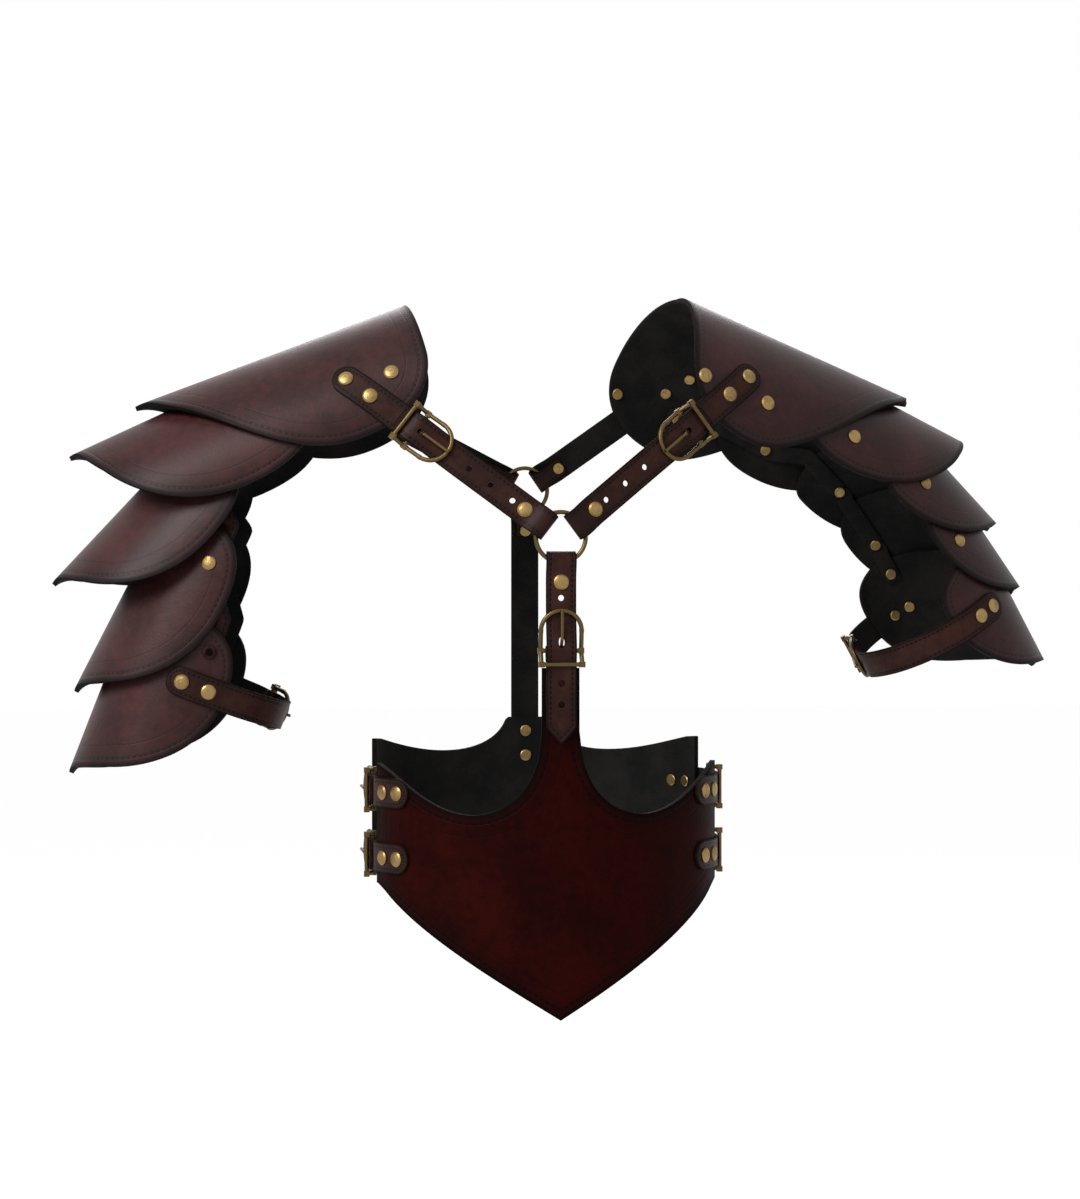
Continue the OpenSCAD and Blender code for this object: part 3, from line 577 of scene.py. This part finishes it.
class CapStrap:
    """Where a strap runs straight from its ring and then lies round the cap."""

    def __init__(self, p, rear):
        ring = RINGS[rear]
        v = touch(p, rear, ring) - ring
        wire = ring + RING_MID * Vector((v.x, 0, v.z)).normalized()
        self.phi = turn_to(p, rear, wire)
        self.on = touch(p, rear, wire)
        self.dir = (self.on - wire).normalized()
        self.zero = wire - RING_MID * self.dir
        self.length = (self.on - self.zero).length
        self.p, self.rear = p, rear
        self.out = out_at(p, rear, self.phi)
        self.flat = frame_at(self.zero, self.dir, self.out)
        self.side = self.out.cross(self.dir)

    def spot(self, x, y, z):
        round_dir = round_at(self.p, self.rear, self.phi)
        over = (x - self.length) * self.dir + y * self.side
        a = over.dot(round_dir)
        if a >= 0:
            return self.flat(x, y, z)
        turn = self.phi + asin(max(a / (CAP_R + STRAP_T), -1))
        u = CAP_U[self.p][self.rear] - over.dot(down(self.p, 0))
        return axis_at(self.p, 0, u) + (CAP_R + SEAT + z) * out_at(self.p, self.rear, turn)


class HARNESS_OT_chest_straps(Operator):
    """Make the three holed chest straps and the three buckle straps"""
    bl_idname = "harness.chest_straps"
    bl_label = "Chest straps"

    def execute(self, context):
        for p in (LEFT, RIGHT):
            line = CapStrap(p, 0)
            path = ring_fold_path() + over_bar_path(CHEST_BAR, CHEST_BAR + 14)
            harness_strap(SIDES[p] + "_chest_strap", path, line.flat, p, end="corner",
                          holes=[(x, MID) for x in CHEST_HOLES], slots=[lift_slot(CHEST_BAR)],
                          width=fold_width(CHEST_FOLD))
            path = bar_fold_path(CHEST_BAR, line.length + PAST_TOUCH)
            harness_strap(SIDES[p] + "_chest_buckle_strap", path, line.spot, p, end="round")
        down_front = frame_at(RINGS[0], (0, 0, -1), (0, -1, 0))
        path = ring_fold_path() + over_bar_path(CENTRE_BAR, CENTRE_END)
        holes = [(CENTRE_HOLE, MID)] + [(x, ON_TOP) for x in CENTRE_LAPPED_HOLES]
        harness_strap("centre_chest_strap", path, down_front, end="point", holes=holes,
                      slots=[lift_slot(CENTRE_BAR)], width=fold_width(CHEST_FOLD))
        path = bar_fold_path(CENTRE_BAR, CENTRE_BUCKLE_END)
        harness_strap("centre_chest_buckle_strap", path, down_front)
        return {"FINISHED"}


class HARNESS_OT_back_straps(Operator):
    """Make the straps from the back ring to the caps and the back panel"""
    bl_idname = "harness.back_straps"
    bl_label = "Back straps"

    def execute(self, context):
        for p in (LEFT, RIGHT):
            line = CapStrap(p, 1)
            path = ring_fold_path() + [(line.length + PAST_TOUCH, MID)]
            harness_strap(SIDES[p] + "_back_strap", path, line.spot, p, end="round",
                          width=fold_width(BACK_FOLD))
        down_back = frame_at(RINGS[1], (0, 0, -1), (0, 1, 0))
        path = ring_fold_path() + [(CENTRE_BACK_END, MID)]
        harness_strap("centre_back_strap", path, down_back, end="round", width=fold_width(BACK_FOLD))
        return {"FINISHED"}


def belt_path(r, half, end):
    """The part of a belt that lies round the ring of radius r, from its riveted end to the flat."""
    c = sqrt(r * r - half * half)
    mid = r + MID
    away = radians(abs(end))
    start = asin(half / r)
    turns = [away + (start - away) * k / 24 for k in range(25)]
    sign = 1 if end > 0 else -1
    return [(-sign * mid * sin(t), mid * cos(t) - c) for t in turns]


def belt_pair(name, p, o, x, z, r, half, high, low, body, holed_node, buckle_node):
    """The holed strap and the buckle strap of one belt."""
    c = sqrt(r * r - half * half)
    spot = frame_at(Vector(o) + c * Vector(z), x, z)
    arc = belt_path(r, half, high)
    holed = strap_piece(name + "_strap_leather", arc + over_bar_path(BELT_BAR, 24)[1:], spot, STRAP_HALF, p,
                        start="round", end="corner", slots=[lift_slot(BELT_BAR)], smooth=2)
    arc = belt_path(r, half, low)
    buckle = strap_piece(name + "_buckle_strap_leather", bar_fold_path(BELT_BAR, half - 4) + arc[::-1][1:],
                         spot, STRAP_HALF, p, end="round", smooth=2)
    hang(holed, body, "strap_leather", holed_node)
    hang(buckle, body, "strap_leather", buckle_node)


class HARNESS_OT_side_belts(Operator):
    """Make the two belts at each side of the waist"""
    bl_idname = "harness.side_belts"
    bl_label = "Side belts"

    def execute(self, context):
        for p in (LEFT, RIGHT):
            for k, level in SIDE_LEVELS:
                belt_pair("%s_%s_side" % (SIDES[p], k), p, (SIDE_X, WAIST_Y, level), (0, -1, 0), (1, 0, 0),
                          SIDE_R + SEAT, SIDE_FLAT, SIDE_LAST, -SIDE_LAST, "harness",
                          "side_straps", "side_buckle_straps")
        return {"FINISHED"}


class HARNESS_OT_arm_belts(Operator):
    """Make the belt that closes each lowest plate round the arm"""
    bl_idname = "harness.arm_belts"
    bl_label = "Arm belts"

    def execute(self, context):
        for p in (LEFT, RIGHT):
            a = radians(BUCKLE_TURN)
            up, rear = crest(p, 4), -fore(p)
            ex, ey = cos(a) * up + sin(a) * rear, -sin(a) * up + cos(a) * rear
            name = SIDES[p] + "_arm"
            belt_pair(name, p, axis_at(p, 4, ARM_U[p]), -ey, ex, plate_r(4) + SEAT, ARM_FLAT,
                      360 - ARM_LAST[p] - BUCKLE_TURN, ARM_LAST[p] - BUCKLE_TURN, SIDES[p] + "_plate_5",
                      name + "_strap", name + "_buckle_strap")
        return {"FINISHED"}


# spine straps under the plates
def cap_spot(p, rear, x):
    """Level and turn on the cap of a spot on its strap, x past the touch."""
    line = CapStrap(p, rear)
    a = x * line.dir.dot(round_at(p, rear, line.phi))
    return CAP_U[p][rear] - x * line.dir.dot(down(p, 0)), degrees(line.phi + asin(a / (CAP_R + STRAP_T)))


def spine_pin(p, i, s):
    """Where a spine strap is riveted to plate i, and how far round."""
    if i == 0 and p == LEFT:
        u, turn = cap_spot(p, 0 if s > 0 else 1, CAP_RIVET_X)
        return on_plate(p, i, u, s * turn, plate_r(i) - SPINE_IN), s * turn
    return on_plate(p, i, RIVET_U[p][i], s * RIVET_PHI[p][i], plate_r(i) - SPINE_IN), s * RIVET_PHI[p][i]


def spine_bend(p, i, s):
    """Where the spine strap above plate i bends."""
    return on_plate(p, i, LOBE[p][i] + SPINE_FLEX, s * RIVET_PHI[p][i], plate_r(i) - SPINE_IN)


def spine_length(p, i, s):
    """One length of spine strap, from the rivet of plate i - 1 to the rivet of plate i."""
    (a, ta), (d, td) = spine_pin(p, i - 1, s), spine_pin(p, i, s)
    b, c = a + SPINE_END * down(p, i - 1), spine_bend(p, i, s)
    if i == 1:
        a = a - CAP_SPINE_END * down(p, 0)
    if i == 4:
        d = d + SPINE_END * down(p, 4)
    stops = [a, b, b.lerp(c, 0.5), c, c.lerp(d, 0.4), d]
    wa, wd = radial(p, i - 1, ta), radial(p, i, td)
    outs = [wa, wa, (wa + wd).normalized(), wd, wd, wd]
    far = [0.0]
    for m, n in zip(stops, stops[1:]):
        far.append(far[-1] + (n - m).length)

    def spot(x, y, z):
        x = min(max(x, 0), far[-1])
        k = max(j for j in range(len(far) - 1) if far[j] <= x)
        t = (x - far[k]) / (far[k + 1] - far[k])
        at, w = stops[k].lerp(stops[k + 1], t), outs[k].lerp(outs[k + 1], t).normalized()
        run = (stops[k + 1] - stops[k]).normalized()
        before = (stops[k] - stops[k - 1]).normalized() if k else run
        after = (stops[k + 2] - stops[k + 1]).normalized() if k + 2 < len(stops) else run
        run = (before.lerp(run, 0.5 + t) if t < 0.5 else run.lerp(after, t - 0.5)).normalized()
        w = (w - w.dot(run) * run).normalized()
        return at + y * w.cross(run) + z * w

    name = "%s_spine_%d_%s" % (SIDES[p], i + 1, "front" if s > 0 else "rear")
    piece = strap_piece(name, [(0, 0), (far[-1], 0)], spot, SPINE_HALF, p, across=4, step=2, smooth=0)
    tuple(worn(p, b) * MM)
    tuple(worn(p, c.lerp(d, 0.3)) * MM)
    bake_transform(piece)
    return piece


class HARNESS_OT_spines(Operator):
    """Make the straps that carry the plates from below"""
    bl_idname = "harness.spines"
    bl_label = "Spine straps"

    def execute(self, context):
        for p in (LEFT, RIGHT):
            for i in range(1, 5):
                for s in (1, -1):
                    piece = spine_length(p, i, s)
                    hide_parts("%s_spine_%d" % (SIDES[p], i + 1))
                    if i == 1:
                        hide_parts("cap_spine_straps")
        return {"FINISHED"}


# finishes, all made from nodes
class Value:
    """A shader number that Python's own signs work on."""

    def __init__(self, made, socket):
        self.made, self.socket = made, socket

    def then(self, kind, *others):
        return self.made.maths(kind, self, *others)

    def __add__(self, other):
        return self.then("ADD", other)

    __radd__ = __add__

    def __mul__(self, other):
        return self.then("MULTIPLY", other)

    __rmul__ = __mul__

    def __sub__(self, other):
        return self.then("SUBTRACT", other)

    def __rsub__(self, other):
        return self.made.maths("SUBTRACT", other, self)

    def __truediv__(self, other):
        return self.then("DIVIDE", other)

    def __abs__(self):
        return self.then("ABSOLUTE")

    def part(self):
        return self.then("FRACT")

    def ramp(self, lo, hi):
        return self.made.node("ShaderNodeMapRange", {"clamp": True, "interpolation_type": "SMOOTHSTEP"},
                              {"Value": self, "From Min": lo, "From Max": hi}, "Result")


class Finish:
    """One material being put together."""

    def __init__(self, name):
        self.material = bpy.data.materials.new(name)
        self.material.use_nodes = True
        self.tree = self.material.node_tree
        self.shader = self.tree.nodes["Principled BSDF"]
        self.place = self.node("ShaderNodeTexCoord", {}, {}, "Object")

    def node(self, kind, settings, inputs, output=0):
        n = self.tree.nodes.new(kind)
        for key, value in settings.items():
            setattr(n, key, value)
        for key, value in inputs.items():
            self.feed(n.inputs[key], value)
        return Value(self, n.outputs[output])

    def feed(self, socket, value):
        if isinstance(value, Value):
            self.tree.links.new(value.socket, socket)
        else:
            socket.default_value = value

    def maths(self, kind, *values):
        return self.node("ShaderNodeMath", {"operation": kind}, dict(enumerate(values)))

    def noise(self, scale, detail=3.0, rough=0.55):
        return self.node("ShaderNodeTexNoise", {}, {"Vector": self.place, "Scale": scale, "Detail": detail,
                                                    "Roughness": rough}, "Fac")

    def cells(self, scale):
        return self.node("ShaderNodeTexVoronoi", {}, {"Vector": self.place, "Scale": scale}, "Distance")

    def along(self, label):
        return self.node("ShaderNodeAttribute", {"attribute_name": label}, {}, "Fac")

    def tint(self, mask, a, b):
        """Colour a where the mask is 0 and b where it is 1."""
        n = self.tree.nodes.new("ShaderNodeMix")
        n.data_type = "RGBA"
        self.feed(n.inputs[0], mask)
        for k, value in ((6, a), (7, b)):
            self.feed(n.inputs[k], value if isinstance(value, Value) else (*value, 1))
        return Value(self, n.outputs[2])

    def put(self, **inputs):
        for key, value in inputs.items():
            self.feed(self.shader.inputs[key.replace("_", " ")], value)

    def bump(self, height, depth, strength):
        inputs = {"Height": height, "Distance": depth, "Strength": strength}
        self.put(Normal=self.node("ShaderNodeBump", {}, inputs, "Normal"))


def line_mask(value, at, half, soft):
    """1 on a line where the value is at, falling off to both sides."""
    return 1 - abs(value - at).ramp(half, half + soft)


def shade(colour, k):
    return tuple(min(c * k, 1) for c in colour)


BURNISH = (0.004, 0.0025, 0.0025)


def leather(name, colour, stitch_in, crease_in, *, wear, gloss, thread, roughness=0.40, pitch=4.4, thick=0.6,
            edge_dark=4.4):
    """Waxed grain leather with a burnished edge, a stitch line and a tooled crease."""
    f = Finish(name)
    edge, run = f.along("edge"), f.along("run")
    broad, fine = f.noise(22, 4, 0.6), f.noise(170, 4, 0.6)
    grain = f.cells(620)
    cloud = (broad * 0.65 + fine * 0.35).ramp(0.36, 0.66)
    base = f.tint(cloud, shade(colour, 0.62), shade(colour, 1.5))
    pores = grain.ramp(0.0, 0.45) * 0.35
    base = f.tint(0.35 - pores, base, shade(colour, 0.45))
    rim = 1 - (edge + (broad - 0.5) * edge_dark * 0.5).ramp(edge_dark * 0.22, edge_dark)
    fade = 1 - (edge + (broad - 0.5) * edge_dark * 4).ramp(0, edge_dark * 5)
    base = f.tint(fade * 0.5, base, shade(colour, 0.36))
    base = f.tint(rim * 0.94, base, BURNISH)
    dash = 1 - abs((run / pitch).part() - 0.5).ramp(0.22, 0.30)
    stitch = line_mask(edge, stitch_in, thick, 0.2) * dash
    groove = line_mask(edge, stitch_in, thick + 0.3, 0.5)
    crease = line_mask(edge, crease_in, 0.25, 0.6) if crease_in else None
    if crease:
        base = f.tint(crease * 0.32, base, shade(colour, 0.25))
    base = f.tint(groove * 0.3, base, shade(colour, 0.3))
    base = f.tint(stitch, base, thread)
    scuff = (f.noise(60, 6, 0.7) * 0.6 + f.noise(9, 2) * 0.4).ramp(0.56, 0.72)
    base = f.tint(scuff * wear, base, shade(colour, 2.6))
    f.put(Base_Color=base, Roughness=roughness + fine * 0.12 + scuff * 0.08 + rim * 0.12,
          Specular_IOR_Level=gloss, Coat_Weight=(1 - rim) * gloss * 1.3, Coat_Roughness=0.36)
    height = grain * 0.35 + fine * 0.5 + broad * 0.6 + stitch * 0.6 - groove * 0.9 - rim * 0.25
    if crease:
        height = height - crease * 0.45
    f.bump(height, 0.0004, 0.6)
    return f.material


def flesh_side(name):
    """Black dyed flesh side, with a short nap."""
    f = Finish(name)
    nap = f.noise(900, 3, 0.7)
    patch = f.noise(35, 4, 0.6)
    base = f.tint(patch.ramp(0.35, 0.7), (0.005, 0.005, 0.005), (0.016, 0.014, 0.013))
    base = f.tint(nap.ramp(0.5, 0.75) * 0.4, base, (0.03, 0.027, 0.025))
    f.put(Base_Color=base, Roughness=0.72 + nap * 0.2, Specular_IOR_Level=0.12)
    f.bump(nap * 0.7 + patch * 0.5, 0.0004, 0.6)
    return f.material


def cut_edge_and_hole_shade(name, dark):
    """Slicked and waxed edge with the leather's layers just showing; the same finish in near black is the
    painted shadow of the fastener's open hole.
    """
    f = Finish(name)
    fibre = f.noise(420, 4, 0.7)
    base = f.tint(fibre.ramp(0.35, 0.7), dark, shade(dark, 2.4))
    f.put(Base_Color=base, Roughness=0.75 + fibre * 0.15, Specular_IOR_Level=0.05)
    f.bump(fibre, 0.0003, 0.5)
    return f.material


def old_brass(name, colour, tarnish):
    """Antiqued brass: brown tarnish in noise patches over the bright metal."""
    f = Finish(name)
    patch, speck = f.noise(90, 5, 0.65), f.noise(650, 3, 0.6)
    old = (patch * 0.7 + speck * 0.3).ramp(0.42, 0.66)
    base = f.tint(old * tarnish, colour, (0.10, 0.065, 0.032))
    f.put(Base_Color=base, Metallic=1.0, Roughness=0.36 + old * 0.2 + speck * 0.06)
    f.bump(speck * 0.6 + patch, 0.0002, 0.35)
    return f.material


DARK_EDGES_AND_HOLE_SHADE = {
    "burnished": (0.006, 0.004, 0.004),
    "strap_rim": (0.010, 0.005, 0.004),
    "eyelet_ring": (0.020, 0.008, 0.008),
    # the eyelet's middle is no edge: near black, a painted shadow of the fastener's open hole
    "eyelet_hole_shade": (0.001, 0.001, 0.001),
}


def finish(name):
    """The named finish, made once."""
    if name in bpy.data.materials:
        return bpy.data.materials[name]
    s = sizes()
    if name == "plate_grain":
        return leather(name, s.plate_colour, s.stitch_in, s.crease_in, wear=0.2, gloss=0.11,
                       thread=(0.003, 0.002, 0.002))
    if name == "waist_grain":
        return leather(name, s.waist_colour, s.stitch_in, s.crease_in, wear=0.1, gloss=0.02,
                       thread=(0.002, 0.001, 0.001))
    if name == "strap_grain":
        return leather(name, s.strap_colour, s.strap_stitch, 0, wear=0.12, gloss=0.06, roughness=0.38,
                       pitch=3.4, thick=0.55, edge_dark=1.5, thread=(0.002, 0.001, 0.001))
    if name == "flesh":
        return flesh_side(name)
    if name in DARK_EDGES_AND_HOLE_SHADE:
        return cut_edge_and_hole_shade(name, DARK_EDGES_AND_HOLE_SHADE[name])
    if name == "rivet_brass":
        return old_brass(name, tuple(s.brass_colour), 0.55)
    return old_brass(name, shade(s.brass_colour, 0.36), 0.8)


class HARNESS_OT_brass(Operator):
    """Give the rivets, buckles, tongues and rings their antiqued brass"""
    bl_idname = "harness.brass"
    bl_label = "Brass fittings"

    def execute(self, context):
        for name, node in frame["nodes"].items():
            kind = "rivet_brass" if "rivets" in name else "buckle_brass"
            if any(k in name for k in ("rivets", "buckles", "arm_buckle", "tongue", "ring")) \
                    and "strap" not in name:
                node.data.materials.clear()
                node.data.materials.append(finish(kind))
        self.bare_eyelet(frame["nodes"]["left_rivets_5"])
        return {"FINISHED"}

    @staticmethod
    def bare_eyelet(node):
        """The fastener of the lowest left plate is dark, not a brass cap; its middle is painted near black,
        a painted shadow of the open hole.
        """
        for name in ("eyelet_ring", "eyelet_hole_shade"):
            node.data.materials.append(finish(name))
        u, phi, r = RIVET_U[LEFT][4], RIVET_PHI[LEFT][4], plate_r(4)
        at = worn(LEFT, on_plate(LEFT, 4, u, phi, r))
        axis = worn(LEFT, radial(LEFT, 4, phi))
        for facet in node.data.polygons:
            off = node.matrix_world @ facet.center / MM - at
            away = (off - off.dot(axis) * axis).length
            if off.dot(axis) > -0.5 and away < EYELET_RIM:
                # the middle facets get the painted shadow of the open hole, the rest the dark rim
                facet.material_index = 2 if away < HOLE_SHADE_R else 1


class HARNESS_OT_stage(Operator):
    """Make the pale floor, the soft lights and the camera"""
    bl_idname = "harness.stage"
    bl_label = "Stage"

    def execute(self, context):
        self.lay_floor()
        self.light_world(context.scene)
        for name, at, size, power in LAMPS:
            lamp = bpy.data.lights.new(name, "AREA")
            lamp.energy, lamp.size = power, size
            self.look(name, lamp, at, LAMP_AIM)
        lens = bpy.data.cameras.new("camera")
        lens.lens, lens.sensor_width = LENS, 36
        context.scene.camera = self.look("camera", lens, EYE, EYE_AIM)
        context.scene.view_settings.view_transform = "Standard"
        return {"FINISHED"}

    @staticmethod
    def look(name, data, at, aim):
        """Puts the lamp or the camera in its place, turned to what it looks at."""
        held = bpy.data.objects.new(name, data)
        bpy.context.scene.collection.objects.link(held)
        held.location = at
        held.rotation_mode = "QUATERNION"
        held.rotation_quaternion = (Vector(aim) - Vector(at)).to_track_quat("-Z", "Y")
        return held

    def lay_floor(self):
        nothing_selected()
        bpy.ops.mesh.primitive_plane_add(size=14, location=(0, 2, FLOOR_Z))
        floor = bpy.context.object
        floor.name = "floor"
        pale = bpy.data.materials.new("pale_floor")
        pale.use_nodes = True
        tree = pale.node_tree
        bsdf = tree.nodes["Principled BSDF"]
        bsdf.inputs["Base Color"].default_value = (0.82, 0.82, 0.82, 1)
        bsdf.inputs["Roughness"].default_value = 0.9
        glow = tree.nodes.new("ShaderNodeEmission")
        glow.inputs["Color"].default_value = (1, 1, 1, 1)
        glow.inputs["Strength"].default_value = FLOOR_GLOW
        seen = self.seen_by(tree)
        share = tree.nodes.new("ShaderNodeMath")
        share.operation = "MULTIPLY"
        share.inputs[1].default_value = FLOOR_SHARE
        mix = tree.nodes.new("ShaderNodeMixShader")
        tree.links.new(seen, share.inputs[0])
        tree.links.new(share.outputs[0], mix.inputs[0])
        tree.links.new(bsdf.outputs[0], mix.inputs[1])
        tree.links.new(glow.outputs[0], mix.inputs[2])
        tree.links.new(mix.outputs[0], tree.nodes["Material Output"].inputs[0])
        floor.data.materials.append(pale)

    def light_world(self, scene):
        world = bpy.data.worlds.new("studio")
        scene.world = world
        world.use_nodes = True
        tree = world.node_tree
        back = tree.nodes["Background"]
        back.inputs["Color"].default_value = (1, 1, 1, 1)
        back.inputs["Strength"].default_value = WORLD_LIGHT
        white = tree.nodes.new("ShaderNodeBackground")
        white.inputs["Color"].default_value = (1, 1, 1, 1)
        white.inputs["Strength"].default_value = WORLD_SEEN
        mix = tree.nodes.new("ShaderNodeMixShader")
        tree.links.new(self.seen_by(tree), mix.inputs[0])
        tree.links.new(back.outputs[0], mix.inputs[1])
        tree.links.new(white.outputs[0], mix.inputs[2])
        tree.links.new(mix.outputs[0], tree.nodes["World Output"].inputs[0])

    @staticmethod
    def seen_by(tree):
        """1 for rays from the camera, and for those that gloss or glass sends on."""
        path = tree.nodes.new("ShaderNodeLightPath")
        total = path.outputs["Is Camera Ray"]
        for label in ("Is Glossy Ray", "Is Transmission Ray"):
            add = tree.nodes.new("ShaderNodeMath")
            add.operation, add.use_clamp = "ADD", True
            tree.links.new(total, add.inputs[0])
            tree.links.new(path.outputs[label], add.inputs[1])
            total = add.outputs[0]
        return total


STEPS = (HARNESS_OT_plates, HARNESS_OT_waist, HARNESS_OT_chest_straps, HARNESS_OT_back_straps,
         HARNESS_OT_side_belts, HARNESS_OT_arm_belts, HARNESS_OT_spines, HARNESS_OT_brass, HARNESS_OT_stage)


class HARNESS_PT_panel(Panel):
    """Lists the pieces of the harness"""
    bl_label = "Shoulder armour harness"
    bl_idname = "HARNESS_PT_panel"
    bl_space_type = "VIEW_3D"
    bl_region_type = "UI"
    bl_category = "Harness"

    def draw(self, context):
        for step in STEPS:
            self.layout.operator(step.bl_idname)
        for key in HarnessSizes.__annotations__:
            self.layout.prop(context.scene.harness_sizes, key)


CLASSES = (HarnessSizes, *STEPS, HARNESS_PT_panel)


def register():
    for c in CLASSES:
        bpy.utils.register_class(c)
    bpy.types.Scene.harness_sizes = PointerProperty(type=HarnessSizes)


def unregister():
    del bpy.types.Scene.harness_sizes
    for c in reversed(CLASSES):
        bpy.utils.unregister_class(c)


def main():
    register()
    kept = set(frame["nodes"].values()) | set(frame["bodies"].values())
    for o in list(bpy.data.objects):
        if o not in kept:
            bpy.data.objects.remove(o)
    for step in STEPS:
        group, label = step.bl_idname.split(".")
        getattr(getattr(bpy.ops, group), label)()
    for node in frame["nodes"].values():
        if not node.hide_render and not node.data.materials:
            node.data.materials.append(finish("buckle_brass"))


if __name__ == "__main__":
    main()
